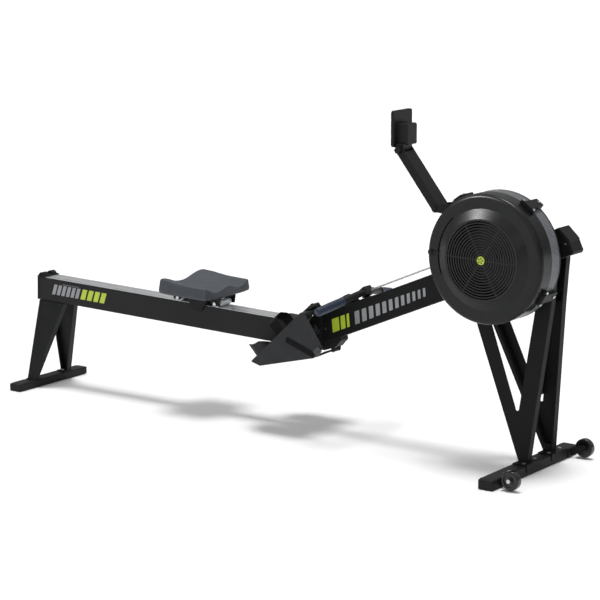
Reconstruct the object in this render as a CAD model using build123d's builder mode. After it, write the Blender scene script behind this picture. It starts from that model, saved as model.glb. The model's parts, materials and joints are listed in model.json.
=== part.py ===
from build123d import *
import os
from math import asin, atan2, cos, hypot, radians, sin, tan

# Air-resistance rowing machine on tall legs, in millimetres.
# +X runs along the rail towards the flywheel, +Y is the rower's left, +Z is up.
# The origin is on the floor under the middle of the rear foot.

os.makedirs("parts", exist_ok=True)

# ---------------------------------------------------------------- driving dimensions
GAP = 0.3                       # clearance between curved faces of different bodies
RUN = 0.05                      # radial clearance of a running fit

REAR_FOOT = (58, 418, 32)       # length, width and height of the rear floor bar
FRONT_FOOT = (60, 610, 38)
FRONT_FOOT_X = 2345             # middle of the front floor bar
FRONT_FOOT_Y = -69              # the bar reaches further out on the flywheel's side
FOOT_CAP = 14                   # length of a plastic end cap
FOOT_WALL = 2.5

RAIL_PITCH = 1.65               # the rail falls towards the flywheel, degrees
RAIL_START = (25, 456)          # X and Z of a point on the rail's top line
RAIL_WIDTH = 85
RAIL_HEIGHT = 94.5
RAIL_WALL = 4
RAIL_BACK = -25                 # rail ends, along the rail from RAIL_START
RAIL_FRONT = 1345
TRACK = 1.5                     # thickness of the steel running strip

BEAM_PITCH = 22.81              # the main beam climbs towards the flywheel, degrees
BEAM_START = (1150, 344.6)      # X and Z of a point on the beam's top line
BEAM_WIDTH = 54
BEAM_DEPTH = 104
BEAM_WALL = 3
BEAM_BACK_X = 1422
NOSE_OVERHANG = 9               # the nose cap stands out past the beam's sides

LEG_PLATE = 4
FRONT_LEG_LEAN = 5.0            # degrees from vertical
FRONT_LEG_BEND_Z = 605
FRONT_LEG_DEPTH = 28

AXLE = (2222, 771)              # X and Z of the flywheel axle
AXLE_R = 8
HOUSING_R = 232
COVER_WALL = 3
BACK_Y = -66                    # back plane of the inner cover
SCREEN_Y = (-72, -126)          # the perforated band lies between the covers
FACE_Y = -198                   # flat ring of the outer cover
GRILLE_Y = -216                 # front plane of the intake grille
FACE_R = 180
GRILLE_R = 145
DAMPER_ARC = (131, 203)         # recessed sector, degrees from +X towards +Z
DAMPER_REST = 178
DAMPER_SLOT_R = 188

CHAIN_PLATE = (1.7, 3.2)        # inner and outer face of a chain plate from the middle
CHAIN_BAND = 8
SPROCKET_R = 28.5
SPROCKET_TEETH = 14
IDLER_R = 20
IDLER_S = 400                   # idler axle at rest, along the beam
CORD_PULLEY_S = 328
CORD_R = 4
CORD_TURN_R = 16

BOARD_PITCH = 42.7              # slope of the footboards, degrees
BOARD_HEEL = (1192, 274)        # X and Z of the heel end of a footboard's top line
BOARD_OUT = 180                 # outer and inner edge of a footboard from the middle
BOARD_IN = 56
BOARD_WALL = 4

SEAT_X = 830                    # middle of the seat at rest
ROLLER_R = 13.5
ROLLER_SPAN = 92                # seat roller axles, ahead of and behind the middle

HANDLE = (1600, 560)            # X and Z of the handle's middle at rest
HANDLE_DROP = 40.9              # the grips sweep back and down, degrees
HANDLE_BLOCK = (54, 34, 31)     # width, length and height of the block in the middle
HITCH = (1628, 572)             # X and Z where the chain meets the handle
GRIP_R = 16.5
BAR_R = 13

ARM_Y = -86                     # monitor arm's middle plane
ARM_PIVOT = (1974, 921)
ARM_ANGLE = 128.1               # direction of the arm, degrees from +X towards +Z
ARM_LENGTH = 252
ARM_SECTION = (33, 66)
ARM_WALL = 2.5
ARM_PIN_R = 4
MONITOR_X = (1786, 1800)
MONITOR_Y = (-126, -5)
MONITOR_Z = (1127, 1259)
BATTERY_BOX = (66, 45, 76)      # width, depth and height of the box behind the display
BATTERY_Y = -73
BATTERY_Z = 1137                # underside of that box
BUTTON = (4, 13, 9)             # travel direction, width and height
BUTTON_COUNT = 4

CASTER_R = 35
CASTER_X = 2424
CASTER_Z = 39
CASTERS = (                     # name, middle Y and the way that points outwards
    ("right", -333, -1),
    ("left", 199, 1),
)


# ---------------------------------------------------------------- frames of reference
def frame(start, pitch, y=0):
    """Plane with local x along a line in XZ that climbs by pitch, and local z towards -Y."""
    turn = radians(pitch)
    x_dir = (cos(turn), 0, sin(turn))
    return Plane(origin=(start[0], y, start[1]), x_dir=x_dir, z_dir=(0, -1, 0))


def side(y=0):
    """World XZ plane at Y = y, looking from -Y."""
    return Plane(origin=(0, y, 0), x_dir=(1, 0, 0), z_dir=(0, -1, 0))


def rail_side(y=0):
    return frame(RAIL_START, -RAIL_PITCH, y)


def beam_side(y=0):
    return frame(BEAM_START, BEAM_PITCH, y)


def board_side(y=0):
    return frame(BOARD_HEEL, BOARD_PITCH, y)


def axle_side(y=0):
    return frame(AXLE, 0, y)


def point_on(plane, x, y):
    """World point of a local position on a plane."""
    return plane.from_local_coords(Vector(x, y, 0))


def on_beam(x, z):
    """Local beam coordinates of a world position in XZ."""
    turn = radians(BEAM_PITCH)
    dx = x - BEAM_START[0]
    dz = z - BEAM_START[1]
    return (dx * cos(turn) + dz * sin(turn), -dx * sin(turn) + dz * cos(turn))


def beam_top(x):
    return BEAM_START[1] + (x - BEAM_START[0]) * tan(radians(BEAM_PITCH))


def beam_bottom(x):
    return beam_top(x) - BEAM_DEPTH / cos(radians(BEAM_PITCH))


def rail_s(x):
    """Distance along the rail of a place above world X."""
    return (x - RAIL_START[0]) / cos(radians(RAIL_PITCH))


def rim_plane(angle, radius, y):
    """Plane on the housing's rim: local x along the rim, local z away from the axle."""
    turn = radians(angle)
    out = (cos(turn), 0, sin(turn))
    place = (AXLE[0] + radius * out[0], y, AXLE[1] + radius * out[2])
    return Plane(origin=place, x_dir=(-sin(turn), 0, cos(turn)), z_dir=out)


def rim_point(angle, radius):
    """X and Z of a place at an angle around the flywheel axle."""
    return (AXLE[0] + radius * cos(radians(angle)), AXLE[1] + radius * sin(radians(angle)))


def facing(way, x, y, z):
    """Plane at a point whose local z faces towards -Y or +Y."""
    return Plane(origin=(x, y, z), x_dir=(1, 0, 0), z_dir=(0, way, 0))


def write(name, piece):
    """Label a finished piece and write its STEP file."""
    piece.part.label = name
    export_step(piece.part, "parts/" + name + ".step")


# ---------------------------------------------------------------- floor bars and caps
def floor_bar(name, size, middle_x, middle_y):
    length, width, height = size
    with BuildPart() as bar:
        with BuildSketch(side(middle_y)):
            with Locations((middle_x, height / 2)):
                RectangleRounded(length, height, 5)
        extrude(amount=width / 2 - FOOT_CAP, both=True)
        with BuildSketch(side(middle_y)):
            with Locations((middle_x, height / 2)):
                RectangleRounded(length - 2 * FOOT_WALL, height - 2 * FOOT_WALL, 3)
        extrude(amount=width / 2 - FOOT_CAP, both=True, mode=Mode.SUBTRACT)
    write(name, bar)


floor_bar("rear_foot", REAR_FOOT, 0, 0)
floor_bar("front_foot", FRONT_FOOT, FRONT_FOOT_X, FRONT_FOOT_Y)

CAPPED_BARS = ((REAR_FOOT, 0, 0), (FRONT_FOOT, FRONT_FOOT_X, FRONT_FOOT_Y))
with BuildPart() as foot_end_caps:
    for (length, width, height), middle_x, middle_y in CAPPED_BARS:
        for way in (-1, 1):
            inner = middle_y + way * (width / 2 - FOOT_CAP)
            with BuildSketch(facing(way, middle_x, inner, height / 2)):
                RectangleRounded(length, height, 5)
            extrude(amount=FOOT_CAP, taper=8)
write("foot_end_caps", foot_end_caps)

# ---------------------------------------------------------------- monorail
with BuildPart() as monorail:
    with BuildSketch(rail_side()):
        with BuildLine():
            Polyline(
                (RAIL_BACK, -TRACK), (RAIL_FRONT, -TRACK),
                (RAIL_FRONT, -TRACK - RAIL_HEIGHT), (RAIL_BACK, -TRACK - RAIL_HEIGHT),
                close=True,
            )
        make_face()
    extrude(amount=RAIL_WIDTH / 2, both=True)
    fillet(monorail.edges().filter_by(lambda edge: edge.length > 1000), 2.5)
    with BuildSketch(rail_side()):
        with Locations(((RAIL_BACK + RAIL_FRONT) / 2, -TRACK - RAIL_HEIGHT / 2)):
            Rectangle(RAIL_FRONT - RAIL_BACK, RAIL_HEIGHT - 2 * RAIL_WALL)
    extrude(amount=RAIL_WIDTH / 2 - RAIL_WALL, both=True, mode=Mode.SUBTRACT)
write("monorail", monorail)

STOP_SADDLE = 30                # length of the end cap's saddle over the rail
COUPLER_BACK = rail_s(1216)     # rear edge of the sleeve that joins rail and beam

with BuildPart() as rail_track:
    with BuildSketch(rail_side()):
        with Locations(((RAIL_BACK + STOP_SADDLE + COUPLER_BACK) / 2, -TRACK / 2)):
            Rectangle(COUPLER_BACK - RAIL_BACK - STOP_SADDLE, TRACK)
    extrude(amount=RAIL_WIDTH / 2 - 3, both=True)
write("rail_track", rail_track)

with BuildPart() as rail_stops:
    with BuildSketch(rail_side()):
        with Locations((RAIL_BACK - 5, -(RAIL_HEIGHT + TRACK) / 2)):
            RectangleRounded(10, RAIL_HEIGHT + TRACK + 1, 2)
        with Locations((RAIL_BACK + STOP_SADDLE / 2 - 5, 1.5)):
            Rectangle(STOP_SADDLE + 10, 3 + TRACK * 2)
    extrude(amount=RAIL_WIDTH / 2 + 1, both=True)
    with BuildSketch(rail_side()):
        with BuildLine():
            Polyline(
                (RAIL_BACK, -TRACK), (RAIL_BACK + STOP_SADDLE, -TRACK),
                (RAIL_BACK + STOP_SADDLE, -40), (RAIL_BACK, -40), close=True,
            )
        make_face()
    extrude(amount=RAIL_WIDTH / 2 + 4, both=True, mode=Mode.SUBTRACT)
    for bump_y in (-25, 25):
        with BuildSketch(rail_side(bump_y)):
            with BuildLine():
                Line((RAIL_BACK - 9, 0), (RAIL_BACK + 24, 0))
                ThreePointArc((RAIL_BACK + 24, 0), (RAIL_BACK + 8, 17), (RAIL_BACK - 9, 0))
            make_face()
        extrude(amount=13, both=True)
    with BuildSketch(rail_side()):
        with Locations((COUPLER_BACK - 6, 5)):
            RectangleRounded(12, 10, 3)
    extrude(amount=22, both=True)
write("rail_stops", rail_stops)

# ---------------------------------------------------------------- coupler from rail to beam
SLEEVE = 4
LOCK_PIVOT = (1440, -92.6)      # axle of the frame lock, along and above the rail's top line
LOCK_PIN_R = 4
SHOE_HALF = 25                  # half the width of the shoe that carries the main beam
with BuildPart() as rail_coupler:
    with BuildSketch(rail_side()):
        with Locations(((COUPLER_BACK + RAIL_FRONT + 24) / 2, -(RAIL_HEIGHT + TRACK) / 2 + 0.5)):
            Rectangle(RAIL_FRONT + 24 - COUPLER_BACK, RAIL_HEIGHT + TRACK + 2 * SLEEVE + 1)
    extrude(amount=RAIL_WIDTH / 2 + SLEEVE, both=True)
    with BuildSketch(side()):
        with BuildLine():
            Polyline(
                (BEAM_BACK_X - 60, 330), (BEAM_BACK_X, beam_bottom(BEAM_BACK_X) - 6),
                (BEAM_BACK_X, beam_top(BEAM_BACK_X) + 6),
                (BEAM_BACK_X - 26, beam_top(BEAM_BACK_X) + 4),
                (BEAM_BACK_X - 60, 420), close=True,
            )
        make_face()
    extrude(amount=RAIL_WIDTH / 2 + SLEEVE, both=True)
    with BuildSketch(rail_side()):
        with Locations(((COUPLER_BACK + RAIL_FRONT) / 2, -(RAIL_HEIGHT + TRACK) / 2 - TRACK / 2)):
            Rectangle(RAIL_FRONT - COUPLER_BACK, RAIL_HEIGHT)
    extrude(amount=RAIL_WIDTH / 2, both=True, mode=Mode.SUBTRACT)
    with BuildSketch(side()):
        with BuildLine():
            Polyline(
                (BEAM_BACK_X - 50, 350), (BEAM_BACK_X - 6, 356),
                (BEAM_BACK_X - 6, 440), (BEAM_BACK_X - 50, 400), close=True,
            )
        make_face()
    extrude(amount=RAIL_WIDTH / 2, both=True, mode=Mode.SUBTRACT)
    with BuildSketch(side()):
        with BuildLine():
            Polyline(
                (BEAM_BACK_X - 30, 318), (BEAM_BACK_X - 4, beam_bottom(BEAM_BACK_X)),
                (BEAM_BACK_X, beam_bottom(BEAM_BACK_X) - GAP), (1498, beam_bottom(1498) - GAP),
                (1501, 364), (1475, 335), (1425, 318), close=True,
            )
        make_face()
    extrude(amount=SHOE_HALF, both=True)
    for ear_y in (-19, 19):
        with BuildSketch(rail_side(ear_y)):
            with Locations(LOCK_PIVOT):
                Circle(LOCK_PIN_R + 4)
            with Locations((LOCK_PIVOT[0], LOCK_PIVOT[1] + 6)):
                Rectangle(2 * LOCK_PIN_R + 8, 10)
        extrude(amount=2, both=True)
    with BuildSketch(rail_side()):
        with Locations(LOCK_PIVOT):
            Circle(LOCK_PIN_R)
    extrude(amount=21, both=True)
write("rail_coupler", rail_coupler)

# The lever that locks the two halves of the machine together, under their joint.
with BuildPart() as frame_lock_lever:
    with BuildSketch(rail_side()):
        with BuildLine():
            Polyline(
                (LOCK_PIVOT[0], LOCK_PIVOT[1]), (LOCK_PIVOT[0] - 40, LOCK_PIVOT[1] - 16),
                (LOCK_PIVOT[0] - 84, LOCK_PIVOT[1] - 38),
            )
            offset(amount=4, side=Side.BOTH)
        make_face()
        with Locations(LOCK_PIVOT):
            Circle(7)
            Circle(LOCK_PIN_R + RUN, mode=Mode.SUBTRACT)
    extrude(amount=14, both=True)
write("frame_lock_lever", frame_lock_lever)

# ---------------------------------------------------------------- main beam
NOSE = ((2418, beam_top(2418)), (2462, 838), (2476, 800))

beam_axle = on_beam(AXLE[0], AXLE[1])
SLOT_FROM = beam_axle[0] - 60
SLOT_TO = beam_axle[0] + 48
BEARING_R = 16

with BuildPart() as main_beam:
    with BuildSketch(side()) as beam_outline:
        with BuildLine():
            Polyline(
                (BEAM_BACK_X, beam_bottom(BEAM_BACK_X)), (BEAM_BACK_X, beam_top(BEAM_BACK_X)),
                NOSE[0], NOSE[1], NOSE[2], (2468, beam_bottom(2468)), close=True,
            )
        make_face()
    extrude(amount=BEAM_WIDTH / 2, both=True)
    fillet(main_beam.edges().filter_by(lambda edge: edge.length > 900), 3)
    with BuildSketch(side()):
        add(offset(beam_outline.sketch, amount=-BEAM_WALL, mode=Mode.PRIVATE))
    extrude(amount=BEAM_WIDTH / 2 - BEAM_WALL, both=True, mode=Mode.SUBTRACT)
    with BuildSketch(beam_side()):
        with Locations(((SLOT_FROM + SLOT_TO) / 2, 0)):
            Rectangle(SLOT_TO - SLOT_FROM, 20)
    extrude(amount=11, both=True, mode=Mode.SUBTRACT)
    with BuildSketch(axle_side()):
        Circle(BEARING_R)
    extrude(amount=BEAM_WIDTH, both=True, mode=Mode.SUBTRACT)
write("main_beam", main_beam)

with BuildPart() as beam_nose_cap:
    with BuildSketch(side()):
        with BuildLine():
            Polyline(NOSE[0], (2428, beam_top(2428)), (2471, 842))
            nose_turn = JernArc((2471, 842), (0.35, -1), 20, -20)
            Line(nose_turn @ 1, (2486, 806))
            ThreePointArc((2486, 806), (2484, 792), (2472, beam_bottom(2472) + 1))
            Polyline(
                (2472, beam_bottom(2472) + 1), (2468, beam_bottom(2468)), NOSE[2], NOSE[1], NOSE[0])
        make_face()
    extrude(amount=BEAM_WIDTH / 2 + NOSE_OVERHANG, both=True)
write("beam_nose_cap", beam_nose_cap)

# A low cover on the beam hides the sprocket; its rear mouth guides the chain.
COVER_S = (872, 1212)
with BuildPart() as chain_cover:
    with BuildSketch(beam_side()):
        with BuildLine():
            Polyline((COVER_S[0], 0), (COVER_S[0], 34), (COVER_S[0] + 20, 40), (COVER_S[1] - 130, 34))
            Line((COVER_S[1] - 130, 34), (COVER_S[1] - 20, 20))
            Polyline((COVER_S[1] - 20, 20), (COVER_S[1], 0), (COVER_S[0], 0))
        make_face()
    extrude(amount=16, both=True)
    with BuildSketch(beam_side()):
        with BuildLine():
            Polyline(
                (COVER_S[0], 18), (COVER_S[0] + 14, 12), (COVER_S[0] + 14, 0), (COVER_S[1] - 6, 0))
            Polyline((COVER_S[1] - 6, 0), (COVER_S[1] - 24, 16), (COVER_S[1] - 132, 30))
            Polyline(
                (COVER_S[1] - 132, 30), (COVER_S[0] + 20, 36), (COVER_S[0], 33), (COVER_S[0], 18))
        make_face()
    extrude(amount=11, both=True, mode=Mode.SUBTRACT)
write("chain_cover", chain_cover)

with BuildPart() as handle_hook:
    hook_s = on_beam(HANDLE[0], HANDLE[1])[0]
    for arm_y in (-24, 24):
        with BuildSketch(beam_side(arm_y)):
            with BuildLine():
                Polyline(
                    (hook_s + 18, 0), (hook_s - 34, 0), (hook_s - 38, 13), (hook_s - 30, 13),
                    (hook_s - 27, 3), (hook_s + 18, 3), close=True,
                )
            make_face()
        extrude(amount=3, both=True)
    with BuildSketch(beam_side()):
        with Locations((hook_s - 4, 1.5)):
            Rectangle(40, 3)
    extrude(amount=21, both=True)
write("handle_hook", handle_hook)

# ---------------------------------------------------------------- rear legs, an A-frame of folded plates
LEG_TOP = (0, 132, 45)          # X from, X to and |Y| just under the rail
LEG_FOOT = (-14, 20, 117)       # the same on the floor bar
LEG_FLANGE = 26


def leg_plane(way, low, high):
    """Plane of a leaning leg; low and high are (|Y|, Z) of its outer face. Local y climbs the leg."""
    rise = (0, way * (high[0] - low[0]), high[1] - low[1])
    size = hypot(rise[1], rise[2])
    up = Vector(0, rise[1] / size, rise[2] / size)
    origin = (0, way * low[0], low[1])
    return Plane(origin=origin, x_dir=(1, 0, 0), z_dir=Vector(1, 0, 0).cross(up))


def rail_underside(x):
    drop = (x - RAIL_START[0]) * tan(radians(RAIL_PITCH))
    return RAIL_START[1] - drop - (RAIL_HEIGHT + TRACK)


REAR_LEG_RISE = hypot(LEG_FOOT[2] - LEG_TOP[2], rail_underside(0) - REAR_FOOT[2])
for name, way in (("rear_leg_right", -1), ("rear_leg_left", 1)):
    plane = leg_plane(way, (LEG_FOOT[2], REAR_FOOT[2]), (LEG_TOP[2], rail_underside(0)))
    with BuildPart() as rear_leg:
        with BuildSketch(plane):
            with BuildLine():
                Polyline(
                    (LEG_FOOT[0], 0.5), (LEG_FOOT[1], 0.5),
                    (LEG_TOP[1], REAR_LEG_RISE - 6), (LEG_TOP[0], REAR_LEG_RISE - 2), close=True,
                )
            make_face()
        extrude(amount=way * LEG_FLANGE)
        with BuildSketch(plane.offset(way * LEG_PLATE)):
            with BuildLine():
                Polyline(
                    (LEG_FOOT[0] + 4, 4), (LEG_FOOT[1] - 5, 4),
                    (LEG_TOP[1] - 5, REAR_LEG_RISE + 10), (LEG_TOP[0] + 4, REAR_LEG_RISE + 10),
                    close=True,
                )
            make_face()
        extrude(amount=way * LEG_FLANGE, mode=Mode.SUBTRACT)
        with BuildSketch(rail_side(way * LEG_TOP[2] / 2 + way * 6)):
            with Locations(((LEG_TOP[0] + LEG_TOP[1]) / 2 - RAIL_START[0], -RAIL_HEIGHT - TRACK - 3)):
                Rectangle(LEG_TOP[1] - LEG_TOP[0] - 8, 6)
        extrude(amount=LEG_TOP[2] / 2 - 7, both=True)
        with BuildSketch(Plane.XY.offset(REAR_FOOT[2])):
            with Locations(((LEG_FOOT[0] + LEG_FOOT[1]) / 2, way * (LEG_FOOT[2] - 22))):
                Rectangle(LEG_FOOT[1] - LEG_FOOT[0] + 8, 50)
        extrude(amount=LEG_PLATE)
        with BuildSketch(side()):
            with BuildLine():
                Polyline(
                    (-60, rail_underside(-60)), (200, rail_underside(200)), (200, 500), (-60, 500),
                    close=True,
                )
            make_face()
        extrude(amount=200, both=True, mode=Mode.SUBTRACT)
        with BuildSketch(side()):
            with Locations((0, REAR_FOOT[2] - 50)):
                Rectangle(300, 100)
        extrude(amount=200, both=True, mode=Mode.SUBTRACT)
    write(name, rear_leg)

# ---------------------------------------------------------------- front legs, V-shaped pressings
LEG_LEAN = radians(FRONT_LEG_LEAN)
LEG_BEND_Y = BEAM_WIDTH / 2 + FRONT_LEG_DEPTH       # |Y| of a leg's outer face at its bend
LEG_FOOT_Y = LEG_BEND_Y + (FRONT_LEG_BEND_Z - FRONT_FOOT[2]) * tan(LEG_LEAN)
LEG_NOTCH_Z = 228                                   # lowest point of the opening in the V
UPPER_ARMS = (                                      # the arms above the bend, bolted to the beam
    ((2077, 604), (2141, 604), (2130, 699), (2085, 690)),
    ((2354, 604), (2415, 604), (2429, 790), (2412, 806), (2384, 800)),
)
LEG_BASE = (56, 104)            # the base plate on the floor bar
LEG_BASE_LIP = 26               # its lip down the bar's front face
LEG_BASE_Y = LEG_FOOT_Y - 14


def leg_up(z):
    """Distance up a leaning front leg of a height above the floor."""
    return (z - FRONT_FOOT[2]) / cos(LEG_LEAN)


def inset_arm(corners):
    """The corners of an upper arm moved in by the thickness of its rim."""
    middle_x = sum(place[0] for place in corners) / len(corners)
    middle_z = sum(place[1] for place in corners) / len(corners)
    return [(x + (6 if x < middle_x else -6), z + (5 if z < middle_z else -7)) for x, z in corners]


for name, way in (("front_leg_right", -1), ("front_leg_left", 1)):
    plane = leg_plane(way, (LEG_FOOT_Y, FRONT_FOOT[2]), (LEG_BEND_Y, FRONT_LEG_BEND_Z))
    bend_rise = leg_up(FRONT_LEG_BEND_Z)
    notch_rise = leg_up(LEG_NOTCH_Z)
    with BuildPart() as front_leg:
        with BuildSketch(plane) as vee:
            with BuildLine():
                Polyline((2322, 0), (2357, 0), (2415, bend_rise), (2354, bend_rise), (2311, notch_rise))
                ThreePointArc((2311, notch_rise), (2303, notch_rise - 9), (2295, notch_rise))
                Polyline((2295, notch_rise), (2141, bend_rise), (2077, bend_rise), (2322, 0))
            make_face()
        extrude(amount=way * FRONT_LEG_DEPTH)
        with BuildSketch(plane.offset(way * LEG_PLATE)):
            inner_vee = offset(vee.sketch, amount=-LEG_PLATE, mode=Mode.PRIVATE)
            add(inner_vee.moved(Location(plane.z_dir * (way * LEG_PLATE))))
        extrude(amount=way * FRONT_LEG_DEPTH, mode=Mode.SUBTRACT)
        for arm in UPPER_ARMS:
            with BuildSketch(side(way * BEAM_WIDTH / 2)):
                with BuildLine():
                    Polyline(*arm, close=True)
                make_face()
            extrude(amount=-way * FRONT_LEG_DEPTH)
            with BuildSketch(side(way * BEAM_WIDTH / 2)):
                with BuildLine():
                    Polyline(*inset_arm(arm), close=True)
                make_face()
            extrude(amount=-way * (FRONT_LEG_DEPTH - LEG_PLATE), mode=Mode.SUBTRACT)
        with BuildSketch(Plane.XY.offset(FRONT_FOOT[2])):
            with Locations((FRONT_FOOT_X + FRONT_FOOT[0] / 2 - LEG_BASE[0] / 2, way * LEG_BASE_Y)):
                Rectangle(*LEG_BASE)
        extrude(amount=LEG_PLATE)
        with BuildSketch(side()):
            with Locations((FRONT_FOOT_X, FRONT_FOOT[2] - 50)):
                Rectangle(300, 100)
        extrude(amount=300, both=True, mode=Mode.SUBTRACT)
        with BuildSketch(side(way * LEG_BASE_Y)):
            with Locations((FRONT_FOOT_X + FRONT_FOOT[0] / 2 + 1.5, FRONT_FOOT[2] + LEG_PLATE)):
                Rectangle(3, LEG_BASE_LIP, align=(Align.CENTER, Align.MAX))
        extrude(amount=LEG_BASE[1] / 2, both=True)
    write(name, front_leg)

# ---------------------------------------------------------------- transport casters
FOOT_FRONT = FRONT_FOOT_X + FRONT_FOOT[0] / 2
EAR = 5                         # thickness of the arm on the wheel's inner side
CASTER_WIDTH = 26
CASTER_PIN_R = 5
with BuildPart() as caster_brackets:
    for hand, caster_y, way in CASTERS:
        ear_y = caster_y - way * (CASTER_WIDTH / 2 + 1 + EAR / 2)
        with BuildSketch(side(ear_y)):
            with Locations((CASTER_X, CASTER_Z)):
                Circle(13)
            with BuildLine():
                Polyline(
                    (FOOT_FRONT, 8), (FOOT_FRONT, 36), (CASTER_X - 4, CASTER_Z + 12),
                    (CASTER_X + 4, CASTER_Z - 12), close=True,
                )
            make_face()
        extrude(amount=EAR / 2, both=True)
        with BuildSketch(side(ear_y - way * 10)):
            with Locations((FOOT_FRONT + 2, 22)):
                Rectangle(4, 30)
        extrude(amount=14, both=True)
        with BuildSketch(side(caster_y)):
            with Locations((CASTER_X, CASTER_Z)):
                Circle(CASTER_PIN_R)
        extrude(amount=CASTER_WIDTH / 2 + 3, both=True)
write("caster_brackets", caster_brackets)

for hand, caster_y, way in CASTERS:
    with BuildPart() as caster_wheel:
        with BuildSketch(side(caster_y)):
            with Locations((CASTER_X, CASTER_Z)):
                Circle(CASTER_R)
        extrude(amount=CASTER_WIDTH / 2, both=True)
        fillet(caster_wheel.edges().filter_by(GeomType.CIRCLE), 5)
        for face_way in (-1, 1):
            with BuildSketch(side(caster_y + face_way * CASTER_WIDTH / 2)):
                with Locations((CASTER_X, CASTER_Z)):
                    Circle(24)
                    Circle(13, mode=Mode.SUBTRACT)
            extrude(amount=4, both=True, mode=Mode.SUBTRACT)
        with BuildSketch(side(caster_y)):
            with Locations((CASTER_X, CASTER_Z)):
                Circle(CASTER_PIN_R + RUN)
        extrude(amount=CASTER_WIDTH, both=True, mode=Mode.SUBTRACT)
    write("caster_wheel_" + hand, caster_wheel)

# ---------------------------------------------------------------- flywheel housing
with BuildPart() as housing_inner_cover:
    with BuildSketch(axle_side(BACK_Y)):
        Circle(HOUSING_R)
        Circle(BEARING_R, mode=Mode.SUBTRACT)
    extrude(amount=COVER_WALL)
    with BuildSketch(axle_side(BACK_Y - COVER_WALL)):
        Circle(HOUSING_R)
        Circle(HOUSING_R - 5, mode=Mode.SUBTRACT)
    extrude(amount=BACK_Y - COVER_WALL - SCREEN_Y[0])
    with BuildSketch(axle_side(-BEAM_WIDTH / 2 - 5)):
        Circle(46)
        Circle(34, mode=Mode.SUBTRACT)
        with PolarLocations(40, 6):
            Circle(7)
    extrude(amount=-BACK_Y - BEAM_WIDTH / 2 - 5)
write("housing_inner_cover", housing_inner_cover)

with BuildPart() as housing_screen:
    with BuildSketch(axle_side(SCREEN_Y[0])):
        Circle(HOUSING_R - 0.5)
        Circle(HOUSING_R - 2, mode=Mode.SUBTRACT)
    extrude(amount=SCREEN_Y[0] - SCREEN_Y[1])
write("housing_screen", housing_screen)

SHOULDER = 16                   # radius of the outer cover's rounded rim


def cover_profile(inset):
    """Corner points of the outer cover's section as (radius, depth towards -Y) pairs."""
    depth = -FACE_Y - inset
    return (
        (HOUSING_R - inset, -SCREEN_Y[1]), (HOUSING_R - inset, depth - SHOULDER),
        (HOUSING_R - SHOULDER, depth), (FACE_R, depth), (GRILLE_R + 1, -GRILLE_Y - inset),
    )


section = Plane(origin=(AXLE[0], 0, AXLE[1]), x_dir=(1, 0, 0), z_dir=(0, 0, 1))
rim_out = cover_profile(0)
rim_in = cover_profile(COVER_WALL)
corner = SHOULDER * (1 - sin(radians(45)))
with BuildPart() as housing_outer_cover:
    with BuildSketch(section):
        with BuildLine():
            Line((rim_out[0][0], -rim_out[0][1]), (rim_out[1][0], -rim_out[1][1]))
            ThreePointArc(
                (rim_out[1][0], -rim_out[1][1]), (HOUSING_R - corner, FACE_Y + corner),
                (rim_out[2][0], -rim_out[2][1]),
            )
            Polyline(
                (rim_out[2][0], -rim_out[2][1]), (rim_out[3][0], -rim_out[3][1]),
                (rim_out[4][0], -rim_out[4][1]), (rim_in[4][0], -rim_in[4][1]),
                (rim_in[3][0] + 1, -rim_in[3][1]), (rim_in[2][0], -rim_in[2][1]),
            )
            ThreePointArc(
                (rim_in[2][0], -rim_in[2][1]),
                (HOUSING_R - COVER_WALL - corner, FACE_Y + COVER_WALL + corner),
                (rim_in[1][0], -rim_in[1][1]),
            )
            Polyline(
                (rim_in[1][0], -rim_in[1][1]), (rim_in[0][0], -rim_in[0][1]),
                (rim_out[0][0], -rim_out[0][1]),
            )
        make_face()
    revolve(axis=Axis((AXLE[0], 0, AXLE[1]), (0, 1, 0)), revolution_arc=360)
    arc_from, arc_to = DAMPER_ARC
    with BuildSketch(axle_side(FACE_Y + 2)) as damper_pad:
        with BuildLine():
            CenterArc((0, 0), HOUSING_R - 8, arc_from - 2, arc_to - arc_from + 4)
            CenterArc((0, 0), FACE_R - 1, arc_from - 2, arc_to - arc_from + 4)
            for end in (arc_from - 2, arc_to + 2):
                turn = radians(end)
                Line(
                    ((FACE_R - 1) * cos(turn), (FACE_R - 1) * sin(turn)),
                    ((HOUSING_R - 8) * cos(turn), (HOUSING_R - 8) * sin(turn)),
                )
        make_face()
    extrude(amount=-9)
    with BuildSketch(axle_side(FACE_Y)):
        with BuildLine():
            CenterArc((0, 0), HOUSING_R + 2, arc_from, arc_to - arc_from)
            CenterArc((0, 0), FACE_R, arc_from, arc_to - arc_from)
            for end in DAMPER_ARC:
                turn = radians(end)
                Line(
                    (FACE_R * cos(turn), FACE_R * sin(turn)),
                    ((HOUSING_R + 2) * cos(turn), (HOUSING_R + 2) * sin(turn)),
                )
        make_face()
    extrude(amount=-6, both=True, mode=Mode.SUBTRACT)
    with BuildSketch(axle_side(FACE_Y)):
        with BuildLine():
            CenterArc((0, 0), DAMPER_SLOT_R + 2.5, arc_from + 2, arc_to - arc_from - 4)
            CenterArc((0, 0), DAMPER_SLOT_R - 2.5, arc_from + 2, arc_to - arc_from - 4)
            for end in (arc_from + 2, arc_to - 2):
                turn = radians(end)
                Line(
                    ((DAMPER_SLOT_R - 2.5) * cos(turn), (DAMPER_SLOT_R - 2.5) * sin(turn)),
                    ((DAMPER_SLOT_R + 2.5) * cos(turn), (DAMPER_SLOT_R + 2.5) * sin(turn)),
                )
        make_face()
    extrude(amount=-20, both=True, mode=Mode.SUBTRACT)
write("housing_outer_cover", housing_outer_cover)

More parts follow.
